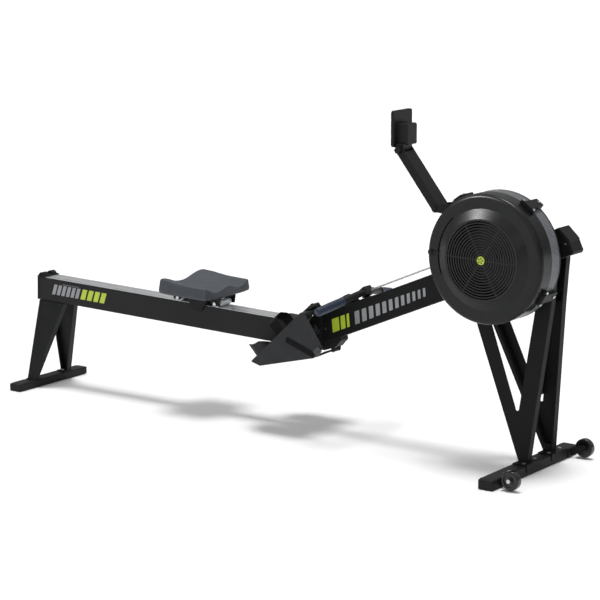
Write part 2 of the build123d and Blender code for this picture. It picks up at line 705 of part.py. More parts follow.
GRILLE_RINGS = 12
GRILLE_BAR = 4.2
HUB_R = 15
with BuildPart() as intake_grille:
    with BuildSketch(axle_side(GRILLE_Y + 3)):
        for ring in range(GRILLE_RINGS + 1):
            middle_r = GRILLE_R - 3 - ring * (GRILLE_R - HUB_R - 6) / (GRILLE_RINGS + 0.5)
            half = 3 if ring == 0 else GRILLE_BAR / 2
            Circle(middle_r + half)
            Circle(middle_r - half, mode=Mode.SUBTRACT)
        Circle(HUB_R + 2)
        for spoke in range(3):
            Rectangle(2 * GRILLE_R - 6, 2.6, rotation=60 * spoke - 2)
    extrude(amount=3)
write("intake_grille", intake_grille)

with BuildPart() as hub_cap:
    with BuildSketch(axle_side(GRILLE_Y)):
        Circle(HUB_R)
    extrude(amount=3)
    fillet(hub_cap.faces().sort_by(Axis.Y)[0].edges(), 1.5)
write("hub_cap", hub_cap)

CLAMP_ANGLES = (54, -31, 125)
with BuildPart() as housing_clamps:
    for angle in CLAMP_ANGLES:
        with BuildSketch(rim_plane(angle, HOUSING_R + 0.5, -105)):
            RectangleRounded(36, 88, 5)
        extrude(amount=15)
        with BuildSketch(rim_plane(angle, HOUSING_R + 0.5, -140)):
            RectangleRounded(64, 14, 4)
        extrude(amount=11)
    with BuildSketch(axle_side()):
        Circle(HOUSING_R + 0.2)
    extrude(amount=300, both=True, mode=Mode.SUBTRACT)
write("housing_clamps", housing_clamps)

with BuildPart() as monitor_bracket:
    for ear_y in (ARM_Y - ARM_SECTION[1] / 2 - 2.5, ARM_Y + ARM_SECTION[1] / 2 + 2.5):
        with BuildSketch(side(ear_y)):
            with Locations(ARM_PIVOT):
                Circle(15)
            with BuildLine():
                Polyline(
                    (ARM_PIVOT[0] - 8, ARM_PIVOT[1] - 12), (ARM_PIVOT[0] + 2, ARM_PIVOT[1] + 14),
                    rim_point(133, HOUSING_R + 6),
                    rim_point(133, HOUSING_R - 30),
                    rim_point(146, HOUSING_R - 30),
                    rim_point(146, HOUSING_R + 6),
                    close=True,
                )
            make_face()
        extrude(amount=1.5, both=True)
    with BuildSketch(axle_side(ARM_Y)):
        with BuildLine():
            CenterArc((0, 0), HOUSING_R + 4, 134, 11)
            CenterArc((0, 0), HOUSING_R, 134, 11)
            for end in (134, 145):
                turn = radians(end)
                Line(
                    (HOUSING_R * cos(turn), HOUSING_R * sin(turn)),
                    ((HOUSING_R + 4) * cos(turn), (HOUSING_R + 4) * sin(turn)),
                )
        make_face()
    extrude(amount=ARM_SECTION[1] / 2 + 3, both=True)
    with BuildSketch(axle_side()):
        Circle(HOUSING_R + 0.2)
    extrude(amount=300, both=True, mode=Mode.SUBTRACT)
    with BuildSketch(side(ARM_Y)):
        with Locations(ARM_PIVOT):
            Circle(ARM_PIN_R)
    extrude(amount=ARM_SECTION[1] / 2 + 6, both=True)
    for way in (-1, 1):
        with BuildSketch(facing(way, ARM_PIVOT[0], ARM_Y + way * (ARM_SECTION[1] / 2 + 4), ARM_PIVOT[1])):
            RegularPolygon(8, 6)
        extrude(amount=5)
write("monitor_bracket", monitor_bracket)

# ---------------------------------------------------------------- flywheel, axle and bearings
BEARING = (BEAM_WIDTH / 2 - 5, BEAM_WIDTH / 2 + 4)      # |Y| of a bearing's two faces
with BuildPart() as axle_bearings:
    for way in (-1, 1):
        with BuildSketch(axle_side(way * BEARING[1])):
            Circle(BEARING_R)
            Circle(AXLE_R + RUN, mode=Mode.SUBTRACT)
        extrude(amount=way * (BEARING[1] - BEARING[0]))
write("axle_bearings", axle_bearings)

DISC_Y = (-99, -109)            # steel flywheel
AXLE_END_Y = (36, -116)
with BuildPart() as flywheel_axle:
    with BuildSketch(axle_side(AXLE_END_Y[0])):
        Circle(AXLE_R)
    extrude(amount=AXLE_END_Y[0] - AXLE_END_Y[1])
    chamfer(flywheel_axle.edges().filter_by(GeomType.CIRCLE), 1)
write("flywheel_axle", flywheel_axle)

with BuildPart() as flywheel_disc:
    with BuildSketch(axle_side(DISC_Y[0])):
        Circle(118)
    extrude(amount=DISC_Y[0] - DISC_Y[1])
    with BuildSketch(axle_side(-84)):
        Circle(22)
    extrude(amount=28)
    with BuildSketch(axle_side(DISC_Y[1])):
        Circle(100)
        Circle(40, mode=Mode.SUBTRACT)
    extrude(amount=-2.5, mode=Mode.SUBTRACT)
    with BuildSketch(axle_side()):
        Circle(AXLE_R)
    extrude(amount=200, both=True, mode=Mode.SUBTRACT)
write("flywheel_disc", flywheel_disc)

FAN_BLADES = 28
FAN_R = 214
with BuildPart() as fan_wheel:
    with BuildSketch(axle_side(DISC_Y[0] + 2)):
        Circle(FAN_R)
        Circle(23, mode=Mode.SUBTRACT)
    extrude(amount=2)
    with BuildSketch(axle_side(-78)):
        with PolarLocations(171, FAN_BLADES):
            Rectangle(2 * (FAN_R - 171), 2.2, rotation=24)
    extrude(amount=44)
    with BuildSketch(axle_side(-122)):
        Circle(FAN_R)
        Circle(FAN_R - 12, mode=Mode.SUBTRACT)
    extrude(amount=2)
write("fan_wheel", fan_wheel)

with BuildPart() as drive_sprocket:
    with BuildSketch(axle_side(1.5)):
        Circle(SPROCKET_R - 4.4)
        with PolarLocations(SPROCKET_R - 2.5, SPROCKET_TEETH):
            Rectangle(9, 4)
    extrude(amount=3)
    with BuildSketch(axle_side(BEARING[0] - 2)):
        Circle(15)
    extrude(amount=2 * BEARING[0] - 4)
    with BuildSketch(axle_side()):
        Circle(AXLE_R + RUN)
    extrude(amount=60, both=True, mode=Mode.SUBTRACT)
write("drive_sprocket", drive_sprocket)

# ---------------------------------------------------------------- damper
SLOT_FLOOR_Y = FACE_Y + 6
lever_turn = radians(DAMPER_REST)
with BuildPart() as damper_lever:
    lever_middle = (204 * cos(lever_turn), 204 * sin(lever_turn))
    with BuildSketch(axle_side(SLOT_FLOOR_Y - GAP)):
        with Locations(lever_middle):
            Rectangle(44, 8, rotation=DAMPER_REST)
    extrude(amount=5)
    with BuildSketch(axle_side(SLOT_FLOOR_Y - GAP - 5)):
        with Locations((219 * cos(lever_turn), 219 * sin(lever_turn))):
            RectangleRounded(15, 14, 3, rotation=DAMPER_REST)
    extrude(amount=4)
    with BuildSketch(axle_side(FACE_Y + 12)):
        with Locations((DAMPER_SLOT_R * cos(lever_turn), DAMPER_SLOT_R * sin(lever_turn))):
            Rectangle(4, 6, rotation=DAMPER_REST)
    extrude(amount=6 + GAP + 1)
    with BuildSketch(axle_side(FACE_Y + 14)):
        Circle(196)
        Circle(152, mode=Mode.SUBTRACT)
    extrude(amount=2)
write("damper_lever", damper_lever)

# ---------------------------------------------------------------- chain, idler and shock cord
GUIDE = (COVER_S[0], 26.2)
chain_start = on_beam(HITCH[0], HITCH[1])
to_axle = (beam_axle[0] - GUIDE[0], beam_axle[1] - GUIDE[1])
to_axle_size = hypot(to_axle[0], to_axle[1])
tangent_turn = atan2(to_axle[1], to_axle[0]) + asin(SPROCKET_R / to_axle_size)
tangent_size = (to_axle_size ** 2 - SPROCKET_R ** 2) ** 0.5
TANGENT = (GUIDE[0] + tangent_size * cos(tangent_turn), GUIDE[1] + tangent_size * sin(tangent_turn))
RETURN_H = beam_axle[1] - SPROCKET_R        # height of the return strand in the beam
CHAIN_ANCHOR_S = 1120

with BuildPart() as drive_chain:
    with BuildSketch(beam_side()):
        with BuildLine():
            Polyline(chain_start, GUIDE, TANGENT)
            ThreePointArc(
                TANGENT, (beam_axle[0] + SPROCKET_R, beam_axle[1]), (beam_axle[0], RETURN_H))
            Line((beam_axle[0], RETURN_H), (IDLER_S, RETURN_H))
            ThreePointArc(
                (IDLER_S, RETURN_H), (IDLER_S - IDLER_R, RETURN_H - IDLER_R),
                (IDLER_S, RETURN_H - 2 * IDLER_R),
            )
            Line((IDLER_S, RETURN_H - 2 * IDLER_R), (CHAIN_ANCHOR_S, RETURN_H - 2 * IDLER_R))
        trace(line_width=CHAIN_BAND)
    extrude(amount=CHAIN_PLATE[1], both=True)
    with BuildSketch(beam_side()):
        Rectangle(6000, 2000)
    extrude(amount=CHAIN_PLATE[0], both=True, mode=Mode.SUBTRACT)
write("drive_chain", drive_chain)

IDLER_H = RETURN_H - IDLER_R
IDLER_PIN_R = 4
with BuildPart() as idler_pulley:
    with BuildSketch(beam_side()):
        with Locations((IDLER_S, IDLER_H)):
            Circle(IDLER_R - CHAIN_BAND / 2 - GAP)
            Circle(IDLER_PIN_R + RUN, mode=Mode.SUBTRACT)
    extrude(amount=4, both=True)
write("idler_pulley", idler_pulley)

with BuildPart() as idler_block:
    for way in (-1, 1):
        with BuildSketch(beam_side(way * 6.5)):
            with Locations((IDLER_S - 8, IDLER_H)):
                RectangleRounded(52, 18, 4)
        extrude(amount=1.5, both=True)
    with BuildSketch(beam_side()):
        with Locations((IDLER_S, IDLER_H)):
            Circle(IDLER_PIN_R)
    extrude(amount=8, both=True)
    with BuildSketch(beam_side(14)):
        with Locations((IDLER_S - 26, IDLER_H)):
            Rectangle(12, 14)
    extrude(amount=7, both=True)
    with BuildSketch(beam_side()):
        with Locations((IDLER_S - 31, IDLER_H)):
            Rectangle(4, 12)
    extrude(amount=7, both=True)
write("idler_block", idler_block)

cord_plane = Plane(
    origin=point_on(beam_side(), 0, IDLER_H), x_dir=beam_side().x_dir, z_dir=beam_side().y_dir)
CORD_FRONT_S = 1330
with BuildPart() as shock_cord:
    with BuildLine(cord_plane) as cord_path:
        Line((IDLER_S - 32, CORD_TURN_R), (CORD_PULLEY_S, CORD_TURN_R))
        ThreePointArc(
            (CORD_PULLEY_S, CORD_TURN_R), (CORD_PULLEY_S - CORD_TURN_R, 0),
            (CORD_PULLEY_S, -CORD_TURN_R),
        )
        Line((CORD_PULLEY_S, -CORD_TURN_R), (CORD_FRONT_S, -CORD_TURN_R))
    with BuildSketch(Plane(origin=cord_path.line @ 0, z_dir=cord_path.line % 0)):
        Circle(CORD_R)
    sweep(path=cord_path.line)
write("shock_cord", shock_cord)

CORD_PIN_R = 4
with BuildPart() as cord_pulley:
    with Locations(cord_plane.offset(-6).location * Location((CORD_PULLEY_S, 0, 0))):
        Cylinder(CORD_TURN_R - CORD_R - GAP, 12, align=(Align.CENTER, Align.CENTER, Align.MIN))
        for flange_h in (0, 10):
            with Locations((0, 0, flange_h)):
                Cylinder(CORD_TURN_R + 2, 1.5, align=(Align.CENTER, Align.CENTER, Align.MIN))
    with BuildSketch(cord_plane):
        with Locations((CORD_PULLEY_S, 0)):
            Circle(CORD_PIN_R + RUN)
    extrude(amount=30, both=True, mode=Mode.SUBTRACT)
write("cord_pulley", cord_pulley)

# ---------------------------------------------------------------- footboards
RIGHT_GUSSET = ((1235, 262), (1484, 323), (1524, 363), (1513, 384), (1439, 491), (1424, 489))
LEFT_GUSSET = ((1222, 265), (1236, 268), (1462, 376), (1470, 392), (1439, 491), (1424, 489))
STRAP_U = 166                   # middle of the strap's arch, along the footboard
ARCH_WIDTH = 46
ARCH_RISE = 80
ARCH_KNEE = 67                  # height of the arch's shoulders
ARCH_BEND = 20
PLATE_H = (1.0, 7.0)            # underside and top of the foot plate above the board
PLATE_U = (-8, 352)
CUP_WALL = 5                    # thickness of the heel cup's wall
STRAP_FEET = (58, 149)          # |Y| where the arch meets the board
BOARD_RIM_BACK = (1400, 250)    # the board's hollow is open in front of this line
BOARD_RIM_TOP = (1436, 487)
BRACES = ((150, -44), (235, -50))       # the tubes that tie a board to the frame, along and above it

for hand, way, gusset in (("right", -1, RIGHT_GUSSET), ("left", 1, LEFT_GUSSET)):
    outer = way * BOARD_OUT
    inner = way * BOARD_IN
    with BuildPart() as footboard:
        with BuildSketch(side(outer)) as cheek:
            with BuildLine():
                Polyline(BOARD_HEEL, *gusset, close=True)
            make_face()
            fillet(cheek.vertices(), 3)
        extrude(amount=way * (BOARD_OUT - BOARD_IN))
        with BuildSketch(side(outer - way * BOARD_WALL)):
            hollow = offset(cheek.sketch, amount=-BOARD_WALL, mode=Mode.PRIVATE)
            add(hollow.moved(Location((0, -way * BOARD_WALL, 0))))
            with BuildLine():
                Polyline(
                    BOARD_RIM_BACK, (BOARD_RIM_BACK[0] + 190, BOARD_RIM_BACK[1]),
                    (BOARD_RIM_BACK[0] + 190, BOARD_RIM_TOP[1]), BOARD_RIM_TOP, close=True,
                )
            make_face()
        extrude(amount=way * (BOARD_OUT - BOARD_IN), mode=Mode.SUBTRACT)
        with BuildSketch(board_side(way * 50)):
            with Locations(BRACES[0]):
                RectangleRounded(120, 30, 6)
            with Locations(BRACES[1]):
                RectangleRounded(30, 36, 6)
        extrude(amount=3.49, both=True)
        for brace_u, brace_h in BRACES:
            with BuildSketch(board_side(way * (BOARD_OUT + BOARD_IN) / 2 - way * 3.5)):
                with Locations((brace_u, brace_h)):
                    RectangleRounded(24, 16, 4)
            extrude(amount=(BOARD_OUT - BOARD_IN) / 2 + 2, both=True)
    write("footboard_" + hand, footboard)

    plate_middle = way * (STRAP_FEET[0] + STRAP_FEET[1]) / 2
    plate_plane = Plane(
        origin=point_on(board_side(plate_middle), 0, PLATE_H[0]),
        x_dir=board_side().x_dir, z_dir=board_side().y_dir)
    plate_half = (STRAP_FEET[1] - STRAP_FEET[0]) / 2 - 5
    with BuildPart() as heel_cup:
        with BuildSketch(plate_plane):
            with Locations(((PLATE_U[0] + PLATE_U[1]) / 2 - 20, 0)):
                Rectangle(PLATE_U[1] - PLATE_U[0] - 40, 2 * plate_half)
            with Locations((PLATE_U[1] - 41, 0)):
                Ellipse(41, plate_half)
            for hole_u in (40, 60, 80, 100):
                with Locations((hole_u, 0)):
                    SlotOverall(12, 6, rotation=90, mode=Mode.SUBTRACT)
        extrude(amount=PLATE_H[1] - PLATE_H[0])
        cup_half = plate_half - CUP_WALL
        with BuildSketch(plate_plane):
            with BuildLine():
                Line((PLATE_U[0] + 60, plate_half), (PLATE_U[0] + 30, plate_half))
                ThreePointArc(
                    (PLATE_U[0] + 30, plate_half), (PLATE_U[0], 0), (PLATE_U[0] + 30, -plate_half))
                Line((PLATE_U[0] + 30, -plate_half), (PLATE_U[0] + 60, -plate_half))
                Line((PLATE_U[0] + 60, -plate_half), (PLATE_U[0] + 60, -cup_half))
                Line((PLATE_U[0] + 60, -cup_half), (PLATE_U[0] + 32, -cup_half))
                ThreePointArc(
                    (PLATE_U[0] + 32, -cup_half), (PLATE_U[0] + CUP_WALL, 0), (PLATE_U[0] + 32, cup_half))
                Line((PLATE_U[0] + 32, cup_half), (PLATE_U[0] + 60, cup_half))
                Line((PLATE_U[0] + 60, cup_half), (PLATE_U[0] + 60, plate_half))
            make_face()
        extrude(amount=66)
        with BuildSketch(board_side()):
            with BuildLine():
                Polyline((PLATE_U[0] + 12, 70), (PLATE_U[0] + 80, 70), (PLATE_U[0] + 80, 14), close=True)
            make_face()
        extrude(amount=200, both=True, mode=Mode.SUBTRACT)
    write("heel_cup_" + hand, heel_cup)

# |Y|-facing webbing on the cheeks, and the buckles that hold it.
BUCKLE_AT = {-1: (1504, 352), 1: (1392, 372)}
WEBBING = {
    -1: ((1362, 390), (1494, 344), (1487, 323), (1355, 369)),
    1: ((1300, 402), (1386, 372), (1379, 351), (1293, 381)),
}
foot_gap = (STRAP_FEET[1] - STRAP_FEET[0]) / 2
with BuildPart() as foot_straps:
    for way in (-1, 1):
        arch_y = way * (STRAP_FEET[0] + STRAP_FEET[1]) / 2
        arch_plane = Plane(
            origin=point_on(board_side(arch_y), STRAP_U - ARCH_WIDTH / 2, 0),
            x_dir=(0, 1, 0), z_dir=board_side().x_dir)
        with BuildSketch(arch_plane):
            with BuildLine():
                FilletPolyline(
                    (-foot_gap, 0), (-foot_gap, ARCH_KNEE), (0, ARCH_RISE), (foot_gap, ARCH_KNEE),
                    (foot_gap, 0), radius=ARCH_BEND,
                )
            trace(line_width=3)
        extrude(amount=ARCH_WIDTH)
    with BuildSketch(board_side()):
        with Locations((STRAP_U, -4.9)):
            Rectangle(200, 11)
    extrude(amount=300, both=True, mode=Mode.SUBTRACT)
    for way in (-1, 1):
        with BuildSketch(side(way * (BOARD_OUT + 1.3))):
            with BuildLine():
                Polyline(*WEBBING[way], close=True)
            make_face()
            with Locations(BUCKLE_AT[way]):
                RectangleRounded(30.4, 24.4, 4, rotation=45, mode=Mode.SUBTRACT)
        extrude(amount=1.2, both=True)
write("foot_straps", foot_straps)

with BuildPart() as strap_buckles:
    for way in (-1, 1):
        buckle_x, buckle_z = BUCKLE_AT[way]
        with BuildSketch(facing(way, buckle_x, way * BOARD_OUT, buckle_z)):
            RectangleRounded(30, 24, 4, rotation=45 * -way)
        extrude(amount=7)
        with BuildSketch(facing(way, buckle_x + 6, way * (BOARD_OUT + 7), buckle_z - 4)):
            RegularPolygon(6, 6)
        extrude(amount=3)
write("strap_buckles", strap_buckles)

# ---------------------------------------------------------------- seat
seat_s = rail_s(SEAT_X)
PAD_H = (41, 88)                # underside and top of the pad above the rail
PAD_SIZE = (236, 288)
PAD_CORNER = 24
with BuildPart() as seat_pad:
    pad_plane = Plane(
        origin=point_on(rail_side(), seat_s, PAD_H[0]), x_dir=rail_side().x_dir, z_dir=rail_side().y_dir)
    with BuildSketch(pad_plane):
        RectangleRounded(*PAD_SIZE, PAD_CORNER)
    extrude(amount=PAD_H[1] - PAD_H[0])
    fillet(seat_pad.faces().sort_by(Axis.Z)[-1].edges(), 12)
    with BuildSketch(rail_side()):
        with Locations((seat_s - 10, PAD_H[1] + 70)):
            Ellipse(130, 82)
    extrude(amount=60, both=True, mode=Mode.SUBTRACT)
write("seat_pad", seat_pad)

PLATE_IN = RAIL_WIDTH / 2 + 3.5
with BuildPart() as seat_carriage:
    with BuildSketch(rail_side()):
        with Locations((seat_s, PAD_H[0] - 1.5)):
            Rectangle(236, 3)
    extrude(amount=PLATE_IN + 4, both=True)
    for way in (-1, 1):
        with BuildSketch(rail_side(way * (PLATE_IN + 2))):
            with BuildLine():
                Polyline(
                    (seat_s - 118, PAD_H[0]), (seat_s + 118, PAD_H[0]), (seat_s + 114, 8),
                    (seat_s + 88, 5), (seat_s + 62, 22), (seat_s + 54, 22), (seat_s + 22, -25),
                    (seat_s - 14, -25), (seat_s - 52, 22), (seat_s - 62, 22), (seat_s - 88, 5),
                    (seat_s - 114, 8), close=True,
                )
            make_face()
            for roller_s in (-ROLLER_SPAN, ROLLER_SPAN):
                with Locations((seat_s + roller_s, ROLLER_R + GAP)):
                    Circle(5, mode=Mode.SUBTRACT)
        extrude(amount=2, both=True)
        with BuildSketch(rail_side(way * (PLATE_IN - 1.5))):
            with Locations((seat_s + 3, -18)):
                RectangleRounded(26, 10, 3)
        extrude(amount=1.5, both=True)
write("seat_carriage", seat_carriage)

with BuildPart() as seat_axles:
    for roller_s in (-ROLLER_SPAN, ROLLER_SPAN):
        with BuildSketch(rail_side()):
            with Locations((seat_s + roller_s, ROLLER_R + GAP)):
                Circle(5)
        extrude(amount=PLATE_IN + 6, both=True)
        for way in (-1, 1):
            with BuildSketch(rail_side(way * (PLATE_IN + 6.5))):
                with Locations((seat_s + roller_s, ROLLER_R + GAP)):
                    RegularPolygon(8, 6)
            extrude(amount=2.5, both=True)
write("seat_axles", seat_axles)

for name, roller_s in (("seat_roller_rear", -ROLLER_SPAN), ("seat_roller_front", ROLLER_SPAN)):
    with BuildPart() as seat_roller:
        with BuildSketch(rail_side()):
            with Locations((seat_s + roller_s, ROLLER_R + GAP)):
                Circle(ROLLER_R)
                Circle(5 + RUN, mode=Mode.SUBTRACT)
        extrude(amount=39, both=True)
        for way in (-1, 1):
            with BuildSketch(rail_side(way * 25)):
                with Locations((seat_s + roller_s, ROLLER_R + GAP)):
                    Circle(ROLLER_R + 1)
                    Circle(ROLLER_R - 1.5, mode=Mode.SUBTRACT)
            extrude(amount=1, both=True, mode=Mode.SUBTRACT)
    write(name, seat_roller)

# ---------------------------------------------------------------- handle
handle_side = frame(HANDLE, HANDLE_DROP)
handle_plane = Plane(origin=handle_side.origin, x_dir=(0, 1, 0), z_dir=handle_side.y_dir)
sweep_sign = -1 if handle_plane.y_dir.X > 0 else 1
BAR_HALF = 242                  # |Y| of a grip's end
BAR_BACK = 69                   # how far the ends are swept back
BAR_FLAT = 26                   # half the straight length in the middle
bar_points = (
    (-BAR_HALF, sweep_sign * BAR_BACK), (-BAR_FLAT, 0), (BAR_FLAT, 0),
    (BAR_HALF, sweep_sign * BAR_BACK),
)
grip_turn = atan2(BAR_BACK, BAR_HALF - BAR_FLAT)
GRIP_Y = 127
with BuildPart() as handle_bar:
    with BuildLine(handle_plane) as bar_line:
        FilletPolyline(*bar_points, radius=90)
    with BuildSketch(Plane(origin=bar_line.line @ 0, z_dir=bar_line.line % 0)):
        Circle(BAR_R)
    sweep(path=bar_line.line)
    with BuildSketch(handle_plane):
        RectangleRounded(HANDLE_BLOCK[0], HANDLE_BLOCK[1], 9)
    extrude(amount=HANDLE_BLOCK[2] / 2, both=True)
write("handle_bar", handle_bar)

with BuildPart() as handle_grips:
    for way in (-1, 1):
        end = bar_line.line @ (0 if way < 0 else 1)
        along = bar_line.line % (0 if way < 0 else 1)
        outward = along * (-1 if way < 0 else 1)
        grip_length = (BAR_HALF - GRIP_Y) / cos(grip_turn)
        start = end - outward * grip_length
        with BuildSketch(Plane(origin=start, z_dir=outward)):
            Circle(GRIP_R)
        extrude(amount=grip_length + 6)
        with BuildSketch(Plane(origin=start, z_dir=outward)):
            Circle(BAR_R)
        extrude(amount=grip_length, mode=Mode.SUBTRACT)
    fillet(handle_grips.edges().filter_by(GeomType.CIRCLE).filter_by(
        lambda edge: abs(edge.radius - GRIP_R) < 0.1), 2.5)
write("handle_grips", handle_grips)

with BuildPart() as chain_shackle:
    with BuildSketch(handle_side):
        with Locations((HANDLE_BLOCK[1] / 2 + 8, -8)):
            RectangleRounded(16, 9, 3)
    extrude(amount=CHAIN_PLATE[0] - 0.2, both=True)
write("chain_shackle", chain_shackle)

# ---------------------------------------------------------------- monitor and its arm


def arm_plane(y):
    return frame(ARM_PIVOT, ARM_ANGLE, y)


with BuildPart() as monitor_arm:
    with BuildSketch(arm_plane(ARM_Y)):
        with Locations((ARM_LENGTH / 2, 0)):
            SlotOverall(ARM_LENGTH + ARM_SECTION[0] - 2, ARM_SECTION[0] - 1)
    extrude(amount=ARM_SECTION[1] / 2, both=True)
    with BuildSketch(arm_plane(ARM_Y)):
        with Locations((ARM_LENGTH / 2 + 10, 0)):
            Rectangle(ARM_LENGTH - 16, ARM_SECTION[0] - 1 - 2 * ARM_WALL)
        with Locations((ARM_LENGTH + 4, 0)):
            Rectangle(44, 60)
    extrude(amount=ARM_SECTION[1] / 2 - ARM_WALL, both=True, mode=Mode.SUBTRACT)
    with BuildSketch(arm_plane(ARM_Y)):
        Circle(ARM_PIN_R + RUN)
        with Locations((ARM_LENGTH, 0)):
            Circle(ARM_PIN_R)
    extrude(amount=ARM_SECTION[1], both=True, mode=Mode.SUBTRACT)
write("monitor_arm", monitor_arm)

tilt = point_on(arm_plane(ARM_Y), ARM_LENGTH, 0)
with BuildPart() as tilt_knob:
    with BuildSketch(side(ARM_Y)):
        with Locations((tilt.X, tilt.Z)):
            Circle(ARM_PIN_R)
    extrude(amount=ARM_SECTION[1] / 2 + 3, both=True)
    with BuildSketch(side(ARM_Y - ARM_SECTION[1] / 2)):
        with Locations((tilt.X, tilt.Z)):
            Circle(11)
            with PolarLocations(10, 6):
                Circle(3.2)
    extrude(amount=14)
    with BuildSketch(side(ARM_Y + ARM_SECTION[1] / 2 + 6)):
        with Locations((tilt.X, tilt.Z)):
            RegularPolygon(8, 6)
    extrude(amount=6)
write("tilt_knob", tilt_knob)

MONITOR_MIDDLE_Y = (MONITOR_Y[0] + MONITOR_Y[1]) / 2
MONITOR_MIDDLE_Z = (MONITOR_Z[0] + MONITOR_Z[1]) / 2
SCREEN_SIZE = (84, 76)
SCREEN_AT = (MONITOR_MIDDLE_Y + 10, MONITOR_MIDDLE_Z + 8)
BUTTON_Y = MONITOR_Y[0] + 13
face_plane = Plane(origin=(MONITOR_X[0], 0, 0), x_dir=(0, 1, 0), z_dir=(1, 0, 0))
button_places = [(BUTTON_Y, SCREEN_AT[1] + 30 - 20 * row) for row in range(BUTTON_COUNT)]

with BuildPart() as monitor_housing:
    with BuildSketch(face_plane):
        with Locations((MONITOR_MIDDLE_Y, MONITOR_MIDDLE_Z)):
            RectangleRounded(MONITOR_Y[1] - MONITOR_Y[0], MONITOR_Z[1] - MONITOR_Z[0], 10)
    extrude(amount=MONITOR_X[1] - MONITOR_X[0])
    fillet(monitor_housing.faces().sort_by(Axis.X)[0].edges(), 3)
    with BuildSketch(face_plane.offset(MONITOR_X[1] - MONITOR_X[0])):
        with Locations((BATTERY_Y, BATTERY_Z + BATTERY_BOX[2] / 2)):
            RectangleRounded(BATTERY_BOX[0], BATTERY_BOX[2], 6)
    extrude(amount=BATTERY_BOX[1])
    chamfer(monitor_housing.faces().sort_by(Axis.X)[-1].edges(), 3)
    with BuildSketch(face_plane):
        with Locations(SCREEN_AT):
            Rectangle(*SCREEN_SIZE)
    extrude(amount=2, mode=Mode.SUBTRACT)
    with BuildSketch(face_plane):
        with Locations(*button_places):
            Rectangle(BUTTON[1] + 0.6, BUTTON[2] + 0.6)
    extrude(amount=BUTTON[0] + 2, mode=Mode.SUBTRACT)
    with BuildSketch(side(ARM_Y)):
        with Locations((tilt.X, tilt.Z)):
            Circle(12)
        with BuildLine():
            Polyline(
                (tilt.X - 12, tilt.Z), (tilt.X + 12, tilt.Z),
                (MONITOR_X[1] + 36, BATTERY_Z + 4), (MONITOR_X[0] + 8, BATTERY_Z + 4), close=True,
            )
        make_face()
    extrude(amount=ARM_SECTION[1] / 2 - ARM_WALL - 1, both=True)
    with BuildSketch(side(ARM_Y)):
        with Locations((tilt.X, tilt.Z)):
            Circle(ARM_PIN_R + RUN)
    extrude(amount=60, both=True, mode=Mode.SUBTRACT)
write("monitor_housing", monitor_housing)

with BuildPart() as monitor_screen:
    with BuildSketch(face_plane.offset(0.5)):
        with Locations(SCREEN_AT):
            Rectangle(*SCREEN_SIZE)
    extrude(amount=1.5)
write("monitor_screen", monitor_screen)

for number, place in enumerate(button_places, start=1):
    with BuildPart() as monitor_button:
        with BuildSketch(face_plane.offset(-1.5)):
            with Locations(place):
                RectangleRounded(BUTTON[1], BUTTON[2], 2)
        extrude(amount=BUTTON[0])
        fillet(monitor_button.faces().sort_by(Axis.X)[0].edges(), 0.8)
    write("monitor_button_" + str(number), monitor_button)

# ---------------------------------------------------------------- screws and bolts of the frame
LEG_BOLTS = ((2106, 660), (2402, 760))      # X and Z of the bolts through the front legs
BEAM_BOLTS = ((1432, 402), (2452, 826))     # and of the screws in the main beam's sides
HEAD = 4                                    # height of a bolt head
LEG_SIDE = BEAM_WIDTH / 2 + FRONT_LEG_DEPTH

with BuildPart() as frame_bolts:
    for way in (-1, 1):
        for bolt_x, bolt_z in LEG_BOLTS:
            with BuildSketch(facing(way, bolt_x, way * LEG_SIDE, bolt_z)):
                RegularPolygon(8, 6)
            extrude(amount=HEAD)
        for bolt_x, bolt_z in BEAM_BOLTS:
            with BuildSketch(facing(way, bolt_x, way * BEAM_WIDTH / 2, bolt_z)):
                RegularPolygon(5.5, 6)
            extrude(amount=2)
        for bolt_x in (30, 100):
            with BuildSketch(Plane.XY.offset(rail_underside(bolt_x) - 10.4)):
                with Locations((bolt_x, way * 26)):
                    RegularPolygon(7, 6)
            extrude(amount=HEAD + 0.1)
        with BuildSketch(Plane.XY.offset(REAR_FOOT[2] + LEG_PLATE)):
            with Locations((3, way * 84)):
                RegularPolygon(7, 6)
        extrude(amount=HEAD)
        for along in (-40, 40):
            with BuildSketch(Plane.XY.offset(FRONT_FOOT[2] + LEG_PLATE)):
                with Locations((FRONT_FOOT_X + 12, way * (LEG_BASE_Y + along))):
                    RegularPolygon(7, 6)
            extrude(amount=HEAD)
    for hand, caster_y, way in CASTERS:
        with BuildSketch(facing(way, CASTER_X, caster_y + way * (CASTER_WIDTH / 2 + 3), CASTER_Z)):
            RegularPolygon(8, 6)
        extrude(amount=HEAD)
    with BuildSketch(cord_plane.offset(-BEAM_DEPTH - IDLER_H + BEAM_WALL)):
        with Locations((CORD_PULLEY_S, 0)):
            Circle(CORD_PIN_R)
    extrude(amount=BEAM_DEPTH + IDLER_H - BEAM_WALL + 9)
    for angle in CLAMP_ANGLES:
        for along in (-25, 25):
            with BuildSketch(rim_plane(angle, HOUSING_R + 11.5, -140)):
                with Locations((along, 0)):
                    RegularPolygon(5, 6)
            extrude(amount=HEAD)
        with BuildSketch(rim_plane(angle, HOUSING_R + 15.5, -74)):
            Circle(6)
        extrude(amount=3)
write("frame_bolts", frame_bolts)
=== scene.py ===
import json
from math import atan2, cos, hypot, pi, radians, sin, sqrt, tan

import bpy
from mathutils import Matrix, Vector

